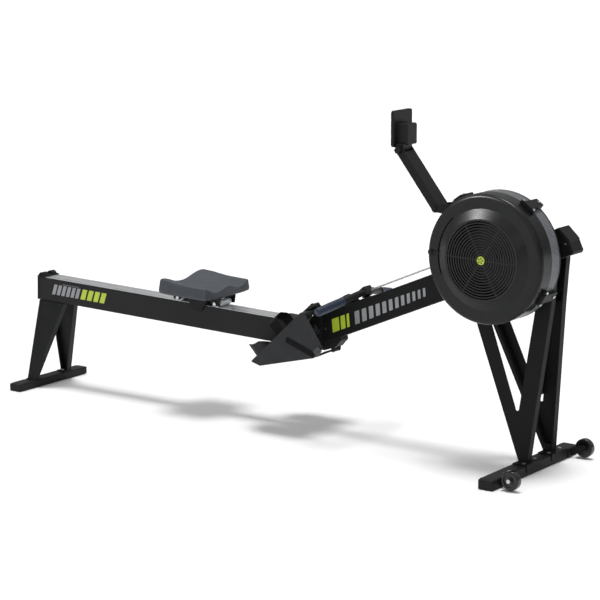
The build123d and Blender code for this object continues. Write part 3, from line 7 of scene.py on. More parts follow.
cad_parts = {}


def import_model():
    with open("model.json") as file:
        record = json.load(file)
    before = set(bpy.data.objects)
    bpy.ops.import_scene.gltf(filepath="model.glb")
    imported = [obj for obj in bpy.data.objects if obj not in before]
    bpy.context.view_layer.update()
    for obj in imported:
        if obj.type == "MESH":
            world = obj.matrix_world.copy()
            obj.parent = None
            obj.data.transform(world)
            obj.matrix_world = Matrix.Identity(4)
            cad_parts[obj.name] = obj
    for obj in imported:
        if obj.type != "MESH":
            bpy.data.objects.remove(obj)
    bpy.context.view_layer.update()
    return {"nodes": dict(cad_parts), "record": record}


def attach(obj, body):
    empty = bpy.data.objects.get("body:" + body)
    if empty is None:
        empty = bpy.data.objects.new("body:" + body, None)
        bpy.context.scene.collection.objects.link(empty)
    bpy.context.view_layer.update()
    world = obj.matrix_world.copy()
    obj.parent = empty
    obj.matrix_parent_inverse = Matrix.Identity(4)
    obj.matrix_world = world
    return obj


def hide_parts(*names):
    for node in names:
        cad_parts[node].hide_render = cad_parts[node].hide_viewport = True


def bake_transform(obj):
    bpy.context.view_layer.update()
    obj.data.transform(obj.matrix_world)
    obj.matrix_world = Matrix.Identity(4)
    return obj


# Air-resistance rowing machine: materials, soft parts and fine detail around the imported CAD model.
# Metres; +X runs along the rail towards the flywheel, +Y is the rower's left, +Z is up.
# Places along the rail, beam and board, and outlines on them, are millimetres, which MM turns to metres.

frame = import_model()
nodes = frame["nodes"]

# ---------------------------------------------------------------- places on the machine
MM = 0.001
RAIL = (0.025, 0.456, radians(-1.65))       # X, Z and climb of the rail's top line
BEAM = (1.150, 0.3446, radians(22.81))
BOARD = (1.192, 0.274, radians(42.7))
AXLE = Vector((2.222, 0, 0.771))
RAIL_HALF = 0.0425
BEAM_HALF = 0.027


def on(line, s, h, y=0.0):
    """A place s millimetres along a line and h above it."""
    x, z, climb = line
    return Vector((
        x + (s * cos(climb) - h * sin(climb)) * MM, y, z + (s * sin(climb) + h * cos(climb)) * MM))


# ---------------------------------------------------------------- material nodes
class Graph:
    """A few short ways to add and join shader nodes."""

    def __init__(self, name):
        self.name = name
        self.material = bpy.data.materials.new(name)
        self.material.use_nodes = True
        self.tree = self.material.node_tree
        self.shader = self.tree.nodes["Principled BSDF"]
        self.coord = self.tree.nodes.new("ShaderNodeTexCoord")

    def put(self, kind, values=(), **settings):
        node = self.tree.nodes.new(kind)
        for key, value in settings.items():
            setattr(node, key, value)
        for key, value in dict(values).items():
            if isinstance(value, bpy.types.NodeSocket):
                self.tree.links.new(value, node.inputs[key])
            else:
                node.inputs[key].default_value = value
        return node

    def join(self, out, socket):
        self.tree.links.new(out, self.shader.inputs[socket])

    def maths(self, operation, a, b=0.0, clamp=False):
        return self.put("ShaderNodeMath", {0: a, 1: b}, operation=operation, use_clamp=clamp).outputs[0]

    def noise(self, scale, detail=3.0, stretch=(1, 1, 1)):
        place = self.put("ShaderNodeMapping", {"Vector": self.coord.outputs["Object"], "Scale": stretch})
        values = {"Vector": place.outputs[0], "Scale": scale, "Detail": detail}
        return self.put("ShaderNodeTexNoise", values).outputs["Fac"]

    def ramp(self, fac, stops):
        node = self.put("ShaderNodeValToRGB", {"Fac": fac})
        edge = node.color_ramp
        while len(edge.elements) < len(stops):
            edge.elements.new(0.5)
        for element, (at, colour) in zip(edge.elements, stops):
            element.position = at
            element.color = (*colour, 1)
        return node.outputs["Color"]

    def blend(self, fac, a, b):
        node = self.put("ShaderNodeMix", {0: fac, 6: a, 7: b}, data_type="RGBA")
        return node.outputs[2]

    def span(self, fac, low, high):
        """Spreads the middle of a noise, where nearly all of it lies, from low to high."""
        values = {"Value": fac, "From Min": 0.3, "From Max": 0.7, "To Min": low, "To Max": high}
        return self.put("ShaderNodeMapRange", values).outputs["Result"]

    def bump(self, height, strength, distance, under=None):
        values = {"Height": height, "Strength": strength, "Distance": distance}
        if under is not None:
            values["Normal"] = under
        return self.put("ShaderNodeBump", values).outputs["Normal"]

    def made(self, socket):
        """The output that already feeds a socket of the shader."""
        return self.shader.inputs[socket].links[0].from_socket

    def apart(self, source="Object"):
        """X, Y and Z of a place on the surface."""
        return self.put("ShaderNodeSeparateXYZ", {0: self.coord.outputs[source]}).outputs

    def around_axle(self):
        """Distance from the flywheel's axle, the angle round it, and Y."""
        x, y, z = self.apart()
        dx = self.maths("SUBTRACT", x, AXLE.x)
        dz = self.maths("SUBTRACT", z, AXLE.z)
        squares = self.maths("ADD", self.maths("MULTIPLY", dx, dx), self.maths("MULTIPLY", dz, dz))
        return self.maths("SQRT", squares), self.maths("ARCTAN2", dz, dx), y


def shade(colour, factor):
    return tuple(min(1.0, channel * factor) for channel in colour)


def finish_of(name, colour, rough, metal=0.0, spread=0.14, patch=18, grain=900, relief=0.25,
              stretch=(1, 1, 1), specular=0.5, coat=0.0, sheen=0.0, soften=0.06):
    """A mottled finish: slow colour drift, uneven gloss and a fine surface grain."""
    g = Graph(name)
    drift = g.noise(patch, 4)
    fine = g.noise(grain, 2, stretch)
    stops = ((0.3, shade(colour, 1 - spread)), (0.7, shade(colour, 1 + spread)))
    g.join(g.ramp(drift, stops), "Base Color")
    uneven = g.maths("ADD", g.maths("MULTIPLY", drift, 0.6), g.maths("MULTIPLY", fine, 0.4))
    g.join(g.span(uneven, rough - soften, rough + soften), "Roughness")
    g.join(g.bump(fine, relief, 0.0003), "Normal")
    g.shader.inputs["Metallic"].default_value = metal
    g.shader.inputs["Specular IOR Level"].default_value = specular
    g.shader.inputs["Coat Weight"].default_value = coat
    g.shader.inputs["Coat Roughness"].default_value = 0.2
    g.shader.inputs["Sheen Weight"].default_value = sheen
    return g


def brushed(name, colour, rough, grain, stretch):
    """Metal with fine scratches along one direction."""
    return finish_of(
        name, colour, rough, 1.0, spread=0.1, patch=9, grain=grain, relief=0.35, stretch=stretch, soften=0.1)


ROLLER_PATH = (0.025, 0.011)     # middle and half width of a path that a roller polishes


def track_finish():
    """Running strip: brushed lengthwise, with two faintly polished paths under the rollers."""
    g = Graph("track_steel")
    scratch = g.noise(260, 3, (0.02, 4, 1))
    path = g.maths("COMPARE", g.maths("ABSOLUTE", g.apart()[1]), ROLLER_PATH[0])
    path.node.inputs[2].default_value = ROLLER_PATH[1]
    base = g.ramp(scratch, ((0.3, (0.56, 0.57, 0.58)), (0.7, (0.72, 0.73, 0.74))))
    g.join(g.blend(g.maths("MULTIPLY", path, 0.35), base, (0.8, 0.81, 0.82, 1)), "Base Color")
    g.join(g.maths("SUBTRACT", g.span(scratch, 0.3, 0.46), g.maths("MULTIPLY", path, 0.08)), "Roughness")
    g.join(g.bump(scratch, 0.25, 0.0002), "Normal")
    g.shader.inputs["Metallic"].default_value = 0.9
    return g


DAMPER_SECTOR = (132, 202)       # the damper's grooves, degrees round the axle
DAMPER_RADIUS = 0.183            # and outside this radius, on the face beyond this Y
DAMPER_FACE_Y = -0.188
DAMPER_GROOVES = 76              # grooves in a full turn


def housing_finish():
    """Moulded cover: satin grain, and radial grooves over the damper's sector, with their colour darkened as
    painted shade.
    """
    g = finish_of(
        "housing_black", (0.0068, 0.0071, 0.0075), 0.3, spread=0.1, grain=1400, relief=0.1, specular=0.22)
    radius, turn, y = g.around_axle()
    turn = g.maths("ADD", turn, g.maths("MULTIPLY", g.maths("LESS_THAN", turn, 0.0), 2 * pi))
    grooves_and_painted_shade = g.maths("GREATER_THAN", radius, DAMPER_RADIUS)
    for limit in (
            g.maths("GREATER_THAN", turn, radians(DAMPER_SECTOR[0])),
            g.maths("LESS_THAN", turn, radians(DAMPER_SECTOR[1])),
            g.maths("LESS_THAN", y, DAMPER_FACE_Y),
            g.maths("GREATER_THAN", g.maths("SINE", g.maths("MULTIPLY", turn, DAMPER_GROOVES)), 0.55)):
        grooves_and_painted_shade = g.maths("MULTIPLY", grooves_and_painted_shade, limit)
    # Painted shade: the grooves' base colour is darkened, and the same mask also sinks them with a bump.
    g.join(g.blend(grooves_and_painted_shade, g.made("Base Color"), (0.006, 0.006, 0.006, 1)), "Base Color")
    g.join(g.bump(g.maths("MULTIPLY", grooves_and_painted_shade, -1), 0.8, 0.0012, g.made("Normal")), "Normal")
    return g


PINWHEEL_BLADES = 5
PINWHEEL_RING = (0.0072, 0.0046)     # middle and half width of the ring that the blades fill
PINWHEEL_CORE = 0.0025


def hub_finish():
    """Lime hub badge with a dark pinwheel, a plain fan motif."""
    g = finish_of("accent_lime", (0.50, 0.64, 0.045), 0.32, spread=0.06, grain=700, relief=0.08)
    radius, turn, _ = g.around_axle()
    swirl = g.maths("ADD", g.maths("MULTIPLY", turn, PINWHEEL_BLADES), g.maths("MULTIPLY", radius, 130))
    blade = g.maths("GREATER_THAN", g.maths("SINE", swirl), 0.25)
    off_middle = g.maths("ABSOLUTE", g.maths("SUBTRACT", radius, PINWHEEL_RING[0]))
    outside = g.maths("GREATER_THAN", off_middle, PINWHEEL_RING[1])
    core = g.maths("LESS_THAN", radius, PINWHEEL_CORE)
    dark = g.maths("SUBTRACT", g.maths("MULTIPLY", g.maths("SUBTRACT", 1.0, outside), blade), core, True)
    g.join(g.blend(dark, g.made("Base Color"), (0.012, 0.013, 0.012, 1)), "Base Color")
    return g


RIB_PITCH = 0.0016               # of the webbing, along and across it
TWILL_PITCH = 0.0024


def webbing_finish():
    """Flat woven webbing: ribs across, twill along, in the piece's own UV space."""
    g = Graph("strap_black")
    colour = (0.0085, 0.0088, 0.0095)
    u, v, _ = g.apart("UV")
    along = g.maths("SINE", g.maths("MULTIPLY", u, 2 * pi / RIB_PITCH))
    slanted = g.maths("ADD", v, g.maths("MULTIPLY", u, 0.7))
    across = g.maths("SINE", g.maths("MULTIPLY", slanted, 2 * pi / TWILL_PITCH))
    weave = g.maths("MULTIPLY", g.maths("ADD", g.maths("MULTIPLY", along, across), 1.0), 0.5)
    fuzz = g.noise(600, 3)
    tone = g.maths("ADD", g.maths("MULTIPLY", weave, 0.6), g.maths("MULTIPLY", fuzz, 0.4))
    g.join(g.ramp(tone, ((0.2, shade(colour, 0.55)), (0.8, shade(colour, 1.5)))), "Base Color")
    g.join(g.span(fuzz, 0.72, 0.9), "Roughness")
    g.join(g.bump(tone, 0.6, 0.0004), "Normal")
    g.shader.inputs["Sheen Weight"].default_value = 0.04
    g.shader.inputs["Specular IOR Level"].default_value = 0.08
    return g


def seat_finish():
    """Moulded polyurethane foam skin: a fine leathery pebble over a soft drift of tone."""
    g = Graph("seat_slate")
    colour = (0.060, 0.066, 0.078)
    drift = g.noise(14, 4)
    cells = g.put("ShaderNodeTexVoronoi", {"Vector": g.coord.outputs["Object"], "Scale": 520})
    fine = g.noise(1500, 2)
    g.join(g.ramp(drift, ((0.3, shade(colour, 0.9)), (0.7, shade(colour, 1.1)))), "Base Color")
    uneven = g.maths("ADD", g.maths("MULTIPLY", drift, 0.7), g.maths("MULTIPLY", fine, 0.3))
    g.join(g.span(uneven, 0.5, 0.64), "Roughness")
    g.join(g.bump(cells.outputs["Distance"], 0.22, 0.0004, g.bump(fine, 0.15, 0.0002)), "Normal")
    g.shader.inputs["Specular IOR Level"].default_value = 0.3
    return g


def glass_finish():
    """Display window: dark tinted, glossy, with a faint cloudiness."""
    return finish_of(
        "screen_glass", (0.055, 0.065, 0.058), 0.12, spread=0.05, patch=40, grain=300, relief=0.02,
        coat=0.6, soften=0.03)


finishes = {g.name: g for g in (
    finish_of("frame_black", (0.0125, 0.013, 0.0135), 0.5, patch=11, grain=1700, relief=0.3, specular=0.16),
    finish_of(
        "rail_black", (0.0135, 0.0135, 0.014), 0.5, patch=7, grain=420, relief=0.1,
        stretch=(0.03, 1, 3), specular=0.2),
    track_finish(),
    finish_of("cap_black", (0.012, 0.0125, 0.013), 0.5, grain=1300, relief=0.22, specular=0.16),
    housing_finish(),
    finish_of("beam_black", (0.0095, 0.0098, 0.01), 0.5, patch=9, grain=1300, relief=0.2, specular=0.12),
    finish_of(
        "screen_grey", (0.2, 0.208, 0.22), 0.44, metal=0.4, spread=0.1, patch=25, grain=1100, relief=0.2,
        specular=0.3),
    hub_finish(),
    finish_of("board_grey", (0.028, 0.029, 0.031), 0.54, patch=16, grain=800, relief=0.3, specular=0.2),
    webbing_finish(),
    finish_of("buckle_grey", (0.06, 0.062, 0.063), 0.42, grain=1200, relief=0.15, specular=0.3),
    seat_finish(),
    finish_of(
        "roller_white", (0.62, 0.65, 0.68), 0.34, spread=0.05, patch=60, grain=900, relief=0.1,
        stretch=(1, 0.05, 1)),
    brushed("bolt_steel", (0.56, 0.57, 0.58), 0.34, 700, (1, 0.2, 1)),
    finish_of(
        "chain_steel", (0.46, 0.45, 0.43), 0.36, metal=0.95, spread=0.2, patch=150, grain=900, relief=0.2,
        soften=0.1),
    finish_of(
        "grip_navy", (0.014, 0.023, 0.046), 0.4, patch=35, grain=1500, relief=0.25, specular=0.35,
        sheen=0.05),
    finish_of("handle_black", (0.0125, 0.013, 0.0135), 0.46, grain=1300, relief=0.2, specular=0.18),
    finish_of("cord_black", (0.014, 0.014, 0.015), 0.8, spread=0.4, patch=500, grain=1600, relief=0.5),
    finish_of("grille_black", (0.02, 0.02, 0.021), 0.36, grain=900, relief=0.1, specular=0.3),
    finish_of(
        "caster_black", (0.008, 0.008, 0.0085), 0.2, patch=30, grain=500, relief=0.06, specular=0.35,
        coat=0.2),
    glass_finish(),
    finish_of(
        "accent_grey", (0.30, 0.31, 0.325), 0.4, metal=0.4, spread=0.1, patch=30, grain=1300, relief=0.2),
    brushed("flywheel_steel", (0.045, 0.045, 0.047), 0.45, 500, (1, 6, 1)),
    finish_of("fan_black", (0.006, 0.006, 0.0063), 0.55, grain=900, relief=0.15, specular=0.1),
)}

slot_of = {part["node"]: part["material_slot"] for part in frame["record"]["subparts"]}
for name, node in nodes.items():
    node.data.materials.clear()
    node.data.materials.append(finishes[slot_of[name]].material)


# ---------------------------------------------------------------- mesh building
def piece(name, verts, faces, body, slot, crease=35, uv=None):
    """A mesh object that rides on a body and takes a slot's finish; with no body, it is left unattached.

    Edges sharper than crease, in degrees, stay hard.
    """
    mesh = bpy.data.meshes.new(name)
    mesh.from_pydata([tuple(v) for v in verts], [], faces)
    mesh.validate()
    if uv is not None:
        layer = mesh.uv_layers.new(name="UVMap")
        for loop in mesh.loops:
            layer.data[loop.index].uv = uv[loop.vertex_index]
    mesh.shade_smooth()
    mesh.set_sharp_from_angle(angle=radians(crease))
    mesh.materials.append(finishes[slot].material)
    made = bpy.data.objects.new(name, mesh)
    bpy.context.scene.collection.objects.link(made)
    if body is not None:
        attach(made, body)
    return made


def loft(rings):
    """Vertices and faces of closed rings with the same number of points, joined in order and capped."""
    count = len(rings[0])
    verts = [p for ring in rings for p in ring]
    faces = []
    for k in range(len(rings) - 1):
        for j in range(count):
            a = k * count + j
            b = k * count + (j + 1) % count
            faces.append((a, b, b + count, a + count))
    faces.append(tuple(reversed(range(count))))
    faces.append(tuple(range((len(rings) - 1) * count, len(rings) * count)))
    return verts, faces


def hand(way):
    """The rower's side that a direction along Y points to."""
    return "right" if way < 0 else "left"


class Parts:
    """Collects several solids into one mesh."""

    def __init__(self):
        self.verts = []
        self.faces = []

    def add(self, verts, faces):
        base = len(self.verts)
        self.verts += verts
        self.faces += [tuple(base + k for k in face) for face in faces]


def prism(outline, place, low, high):
    """Solid from a 2D outline; place(a, b, height) gives the position."""
    return loft([[place(a, b, low) for a, b in outline], [place(a, b, high) for a, b in outline]])


def rounded(corners, radius, steps=3):
    """The outline with each corner cut by a small arc."""
    out = []
    count = len(corners)
    for k, (x, y) in enumerate(corners):
        px, py = corners[k - 1]
        nx, ny = corners[(k + 1) % count]
        before = hypot(px - x, py - y)
        after = hypot(nx - x, ny - y)
        reach = min(radius, before * 0.45, after * 0.45)
        ax, ay = x + (px - x) / before * reach, y + (py - y) / before * reach
        bx, by = x + (nx - x) / after * reach, y + (ny - y) / after * reach
        for i in range(steps + 1):
            t = i / steps
            out.append((
                (1 - t) ** 2 * ax + 2 * t * (1 - t) * x + t ** 2 * bx,
                (1 - t) ** 2 * ay + 2 * t * (1 - t) * y + t ** 2 * by))
    return out


# ---------------------------------------------------------------- seat pad
SEAT_S = 805.3                   # middle of the seat along the rail, millimetres
SEAT_FLOOR = 41.4                # underside of the pad above the rail's top line
SEAT_HALF = (120, 145)           # half the pad's length and width
SEAT_ROWS = (-120, -113, -72, -30, 12, 55, 92, 113, 120)
SEAT_COLUMNS = (0, 34, 68, 102, 134, 145)
# Height of the pad's top above the rail, rear row first, from the middle out to one side.
SEAT_HEIGHTS = (
    (74, 77, 88, 98, 101, 99), (72, 75, 87, 98, 101, 99), (67, 67, 78, 94, 99, 97),
    (66, 62, 68, 84, 93, 93), (70, 63, 62, 75, 88, 90), (77, 68, 62, 72, 86, 89),
    (84, 74, 64, 72, 86, 89), (87, 77, 66, 73, 87, 89), (87, 77, 66, 73, 87, 89),
)
# Each step down the pad's side: growth outward, and the share of the way from its top to its underside.
SEAT_SKIRT = ((2.2, 0.2), (4.5, 0.5), (7.0, 0.78), (3.5, 0.95), (-9.0, 1.0))
CORNER_FROM = (0.55, 0.62)       # shares of the half length and half width where a corner begins
CORNER_DRAW = (0.06, 0.05)       # how far it is drawn in at its tip
WAIST_U = 12                     # middle of the waist, its half length and how far it is drawn in
WAIST_HALF = 95
WAIST_DRAW = 0.03
WAIST_V = 100                    # it begins this far out


def seat_corner(u, v):
    """Draws the pad's corners and its waist in."""
    far = 1.0
    for place, half, begin in zip((u, v), SEAT_HALF, CORNER_FROM):
        far *= max(0.0, abs(place) / half - begin) / (1 - begin)
    waist = 1 - WAIST_DRAW * max(0.0, 1 - abs(u - WAIST_U) / WAIST_HALF) * (abs(v) > WAIST_V)
    return (u * (1 - CORNER_DRAW[0] * far), v * waist * (1 - CORNER_DRAW[1] * far))


def seat_pad():
    """The pad's top as a grid of heights, and its sides as rings round the grid's rim."""
    columns = [-v for v in reversed(SEAT_COLUMNS[1:])] + list(SEAT_COLUMNS)
    rows = len(SEAT_ROWS)
    wide = len(columns)
    top = []
    for u, heights in zip(SEAT_ROWS, SEAT_HEIGHTS):
        for v in columns:
            a, b = seat_corner(u, v)
            top.append((a, b, heights[SEAT_COLUMNS.index(abs(v))]))
    faces = [
        (r * wide + c, (r + 1) * wide + c, (r + 1) * wide + c + 1, r * wide + c + 1)
        for r in range(rows - 1) for c in range(wide - 1)]
    rim = list(range(wide))
    rim += [r * wide + wide - 1 for r in range(1, rows)]
    rim += [(rows - 1) * wide + c for c in reversed(range(wide - 1))]
    rim += [r * wide for r in reversed(range(1, rows - 1))]
    verts = list(top)
    ring = rim
    for grow, down in SEAT_SKIRT:
        fresh = []
        for k in rim:
            a, b, h = top[k]
            size = hypot(a, b)
            fresh.append(len(verts))
            verts.append((a * (1 + grow / size), b * (1 + grow / size), h + (SEAT_FLOOR - h) * down))
        for i in range(len(rim)):
            j = (i + 1) % len(rim)
            faces.append((ring[i], ring[j], fresh[j], fresh[i]))
        ring = fresh
    faces.append(tuple(reversed(ring)))
    placed = [on(RAIL, SEAT_S + a, h, b * MM) for a, b, h in verts]
    pad = piece("seat_pad_moulded", placed, [tuple(reversed(f)) for f in faces], "seat", "seat_slate", 180)
    smooth = pad.modifiers.new("smooth", "SUBSURF")
    smooth.levels = smooth.render_levels = 3
    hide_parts("seat_pad")


seat_pad()


# ---------------------------------------------------------------- handle grips
HANDLE = Vector((1.600, 0, 0.560))
HANDLE_DROP = radians(40.9)
HITCH = (1.628, 0.572)           # where the chain meets the handle
BAR_END = (0.069, 0.242)         # how far back and out the bar's ends are
BAR_KNEE = 0.026                 # how far out the bar bends
GRIP_LENGTH = 0.1256
GRIP_SIDES = 28


def grips():
    """Soft sleeves on the handle's ends, with fine ribs round them."""
    parts = Parts()
    sides = GRIP_SIDES
    back = BAR_END[0] * cos(HANDLE_DROP)
    drop = BAR_END[0] * sin(HANDLE_DROP)
    for way in (-1, 1):
        end = HANDLE + Vector((-back, way * BAR_END[1], -drop))
        knee = HANDLE + Vector((0, way * BAR_KNEE, 0))
        out = (end - knee).normalized()
        start = end - out * GRIP_LENGTH
        across = out.cross(Vector((0, 0, 1))).normalized()
        up = across.cross(out)
        # Distance along the sleeve and radius: a collar, a gently swelling grip and a domed end.
        profile = [(0.0, 13.2), (0.0, 16.0), (0.0015, 16.6), (0.005, 16.6), (0.0068, 16.0)]
        profile += [
            (0.0068 + 0.112 * t / 14, 15.7 + 0.9 * sin(pi * t / 14) + (0.14 if t % 2 else 0))
            for t in range(1, 14)]
        profile += [(0.1205, 16.2), (0.1255, 16.1), (0.1295, 14.6), (0.1318, 11.0), (0.1328, 5.5)]
        rings = []
        for distance, radius in profile:
            centre = start + out * distance
            rings.append([
                centre + (across * cos(2 * pi * k / sides) + up * sin(2 * pi * k / sides)) * radius * MM
                for k in range(sides)])
        parts.add(*loft(rings))
    grip = piece("handle_grip_sleeves", parts.verts, parts.faces, "handle", "grip_navy", 40)
    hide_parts("handle_grips")


grips()

# ---------------------------------------------------------------- drive chain
PITCH = 12.7
SPROCKET_R = 28.5
IDLER_R = 20.0
IDLER_S = 400.0                  # the idler's place along the beam
GUIDE = (872.0, 26.2)            # where the chain leaves its cover, along and above the beam
ANCHOR_S = 1120.0                # where its inner end is held
PLATE_R = 3.6                    # a side plate's rounded ends, its waist and its thickness
PLATE_WAIST = 2.5
PLATE_THICK = 0.8
PLATE_INNER = (2.65, 1.75)       # inner faces of the outer and the inner plates
ROLLERS = ((3.1, 1.7, 10), (1.5, 3.75, 8))      # radius, half length and sides of a roller and a pin


def beam_place(x, z):
    """How far a place is along the beam and above it, in millimetres."""
    dx = (x - BEAM[0]) / MM
    dz = (z - BEAM[1]) / MM
    return (dx * cos(BEAM[2]) + dz * sin(BEAM[2]), -dx * sin(BEAM[2]) + dz * cos(BEAM[2]))


def arc(centre, radius, start, end):
    """Places along an arc, both ends included."""
    steps = 24
    turns = [start + (end - start) * k / steps for k in range(steps + 1)]
    return [(centre[0] + radius * cos(turn), centre[1] + radius * sin(turn)) for turn in turns]


def spaced(path, step):
    """Places at equal steps along a path."""
    out = []
    carried = 0.0
    for (ax, ay), (bx, by) in zip(path, path[1:]):
        size = hypot(bx - ax, by - ay)
        while carried < size:
            t = carried / size
            out.append((ax + (bx - ax) * t, ay + (by - ay) * t))
            carried += step
        carried -= size
    return out


def chain_links(places, parts):
    """Side plates, rollers and pins of a roller chain through the given places."""
    for k, ((ax, ay), (bx, by)) in enumerate(zip(places, places[1:])):
        turn = atan2(by - ay, bx - ax)
        size = hypot(bx - ax, by - ay)
        outline = []
        for end, begin in ((size, -pi / 2), (0, pi / 2)):
            for i in range(5):
                a = begin + pi * i / 4
                outline.append((end + PLATE_R * cos(a), PLATE_R * sin(a)))
        outline.insert(5, (size / 2, PLATE_WAIST))
        outline.append((size / 2, -PLATE_WAIST))

        def place(a, b, y):
            s = ax + a * cos(turn) - b * sin(turn)
            h = ay + a * sin(turn) + b * cos(turn)
            return on(BEAM, s, h, y * MM)

        inner = PLATE_INNER[k % 2]
        outer = inner + PLATE_THICK
        for low, high in ((inner, outer), (-outer, -inner)):
            parts.add(*prism(outline, place, low, high))
    for x, y in places:
        for radius, half, sides in ROLLERS:
            turns = [2 * pi * i / sides for i in range(sides)]
            circle = [(x + radius * cos(turn), y + radius * sin(turn)) for turn in turns]
            parts.add(*prism(circle, lambda s, h, w: on(BEAM, s, h, w * MM), -half, half))


def chain():
    """From the handle to the cover's mouth, then round the sprocket and the idler to the inner end."""
    axle = beam_place(AXLE.x, AXLE.z)
    hitch = beam_place(*HITCH)
    reach = (axle[0] - GUIDE[0], axle[1] - GUIDE[1])
    size = hypot(*reach)
    slope = atan2(reach[1], reach[0])
    lift = slope + atan2(SPROCKET_R, sqrt(size ** 2 - SPROCKET_R ** 2))
    first = lift + pi / 2
    level = axle[1] - SPROCKET_R
    turned = [GUIDE] + arc(axle, SPROCKET_R, first, -pi / 2)
    turned += arc((IDLER_S, level - IDLER_R), IDLER_R, pi / 2, 3 * pi / 2)
    turned += [(ANCHOR_S, level - 2 * IDLER_R)]
    run = Parts()
    pulled = spaced([hitch, GUIDE], PITCH)
    chain_links(pulled, run)
    rest = Parts()
    last = pulled[-1]
    chain_links(spaced([last] + turned, PITCH), rest)
    hidden = piece("chain_in_beam", rest.verts, rest.faces, "frame", "chain_steel")
    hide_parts("drive_chain")
    shown = piece("chain_pulled_run", run.verts, run.faces, None, "chain_steel")
    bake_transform(shown)


chain()

# ---------------------------------------------------------------- foot straps
STRAP_U = 166                    # middle of an arch along the footboard
STRAP_IN = 58                    # an arch's feet, from the machine's middle
STRAP_OUT = 149
STRAP_KNEE = 67                  # height of an arch's shoulders, and of its ridge
STRAP_TOP = 80
STRAP_BEND = 20                  # radius of its shoulders
STRAP_LEAN = 2.5                 # how far its ridge is pulled along the board
ARCH_BAND = (0.0445, 0.0026)     # width and thickness of the webbing, over the foot and on the side
TAIL_BAND = (0.0215, 0.0022)
TAIL_Y = 181.5                   # the tails lie on the footboards' outer sides


def webbing(name, spine, across, thick):
    """A band along a spine of (position, width direction, face normal), with softly rounded selvedges."""
    rings, uv = [], []
    section = (
        (-0.5, 0), (-0.485, 0.42), (-0.44, 0.5), (-0.2, 0.46), (0, 0.5), (0.2, 0.46), (0.44, 0.5),
        (0.485, 0.42), (0.5, 0), (0.485, -0.42), (0.44, -0.5), (0, -0.5), (-0.44, -0.5), (-0.485, -0.42))
    run = 0.0
    for k, (place, side, normal) in enumerate(spine):
        if k:
            run += (place - spine[k - 1][0]).length
        rings.append([place + side * across * a + normal * thick * b for a, b in section])
        uv += [(run, across * a) for a, b in section]
    verts, faces = loft(rings)
    made = piece(name, verts, faces, "frame", "strap_black", 50, uv)
    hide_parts("foot_straps")


def strap_arch(way):
    """The strap over a foot: up from the board, bent over two shoulders to a low ridge, and down."""
    gap = (STRAP_OUT - STRAP_IN) / 2
    middle = way * (STRAP_IN + STRAP_OUT) / 2
    bend = pi / 2 - atan2(STRAP_TOP - STRAP_KNEE, gap)
    start = STRAP_KNEE - STRAP_BEND * tan(bend / 2)
    steps = 7
    left = [(-gap, 0.8), (-gap, start / 3), (-gap, start * 2 / 3)]
    for k in range(steps + 1):
        turn = bend * k / steps
        left.append((-gap + STRAP_BEND * (1 - cos(turn)), start + STRAP_BEND * sin(turn)))
    last = left[-1]
    left += [(last[0] * (1 - f), last[1] + (STRAP_TOP - last[1]) * f) for f in (0.35, 0.7)]
    points = left + [(0, STRAP_TOP - 0.3)] + [(-a, b) for a, b in reversed(left)]
    spine = []
    along = (on(BOARD, 1, 0) - on(BOARD, 0, 0)).normalized()
    placed = []
    for i, (y, h) in enumerate(points):
        u = STRAP_U + STRAP_LEAN * sin(pi * i / (len(points) - 1))
        placed.append(on(BOARD, u, h, (middle + y) * MM))
    for i, place in enumerate(placed):
        ahead = placed[min(i + 1, len(placed) - 1)] - placed[max(i - 1, 0)]
        ahead.normalize()
        spine.append((place, along, ahead.cross(along).normalized()))
    webbing("foot_strap_arch_" + hand(way), spine, *ARCH_BAND)


def strap_tail(way, start, end):
    """A strap's tail on the outside of a footboard; start and end are X and Z in millimetres."""
    out = Vector((0, way, 0))
    a = Vector((start[0], way * TAIL_Y, start[1])) * MM
    b = Vector((end[0], way * TAIL_Y, end[1])) * MM
    side = (b - a).normalized().cross(out)
    spine = []
    steps = 12
    for k in range(steps + 1):
        t = k / steps
        bulge = 0.8 * sin(pi * t) + 0.35 * sin(7 * t)
        spine.append((a.lerp(b, t) + out * bulge * MM, side, out))
    webbing("foot_strap_tail_" + hand(way), spine, *TAIL_BAND)


for way in (-1, 1):
    strap_arch(way)
strap_tail(-1, (1359, 379.5), (1487, 334.5))
strap_tail(1, (1297, 391.5), (1379, 362.5))


# ---------------------------------------------------------------- foot plates' treads
TREAD_HALF = 34.0                # half the length of a rib
TREAD_WIDE = 2.2                 # half its width
TREAD_FROM = 118                 # the first rib along the board, and the pitch of the ribs
TREAD_PITCH = 13
TREADS = 15
TREAD_ARCH = 0.0014              # how fast a rib curves towards the toe
TOE_U = 298                      # the ribs grow shorter beyond here, towards the round toe
TOE_R = 44
TREAD_LOFT = ((1, 1, 6.9), (1, 0.9, 8.0), (0.99, 0.55, 8.5))     # shares of length and width, height


def treads(way):
    """Raised ribs across a foot plate, shorter round its toe."""
    parts = Parts()
    middle = way * (STRAP_IN + STRAP_OUT) / 2
    for k in range(TREADS):
        u = TREAD_FROM + TREAD_PITCH * k
        half = TREAD_HALF
        if u > TOE_U:
            half = TREAD_HALF * sqrt(max(0.05, 1 - ((u - TOE_U) / TOE_R) ** 2))
        corners = [(-half, -TREAD_WIDE), (half, -TREAD_WIDE), (half, TREAD_WIDE), (-half, TREAD_WIDE)]
        outline = rounded(corners, 2.0)

        def place(a, b, h):
            return on(BOARD, u + b + TREAD_ARCH * a * a, h, (middle + a) * MM)

        rings = [[place(a * long, b * wide, h) for a, b in outline] for long, wide, h in TREAD_LOFT]
        parts.add(*loft(rings))
    cup = "heel_cup_" + hand(way)
    piece("foot_plate_treads_" + hand(way), parts.verts, parts.faces, cup, "board_grey", 40)


for way in (-1, 1):
    treads(way)

# ---------------------------------------------------------------- perforated air band
BAND_R = 0.2309
BAND_Y = (-0.0722, -0.1258)
BAND_THICK = 0.0009
HOLE = 0.0017                    # radius of a hole
CELLS_AROUND = 288
CELLS_ACROSS = 10


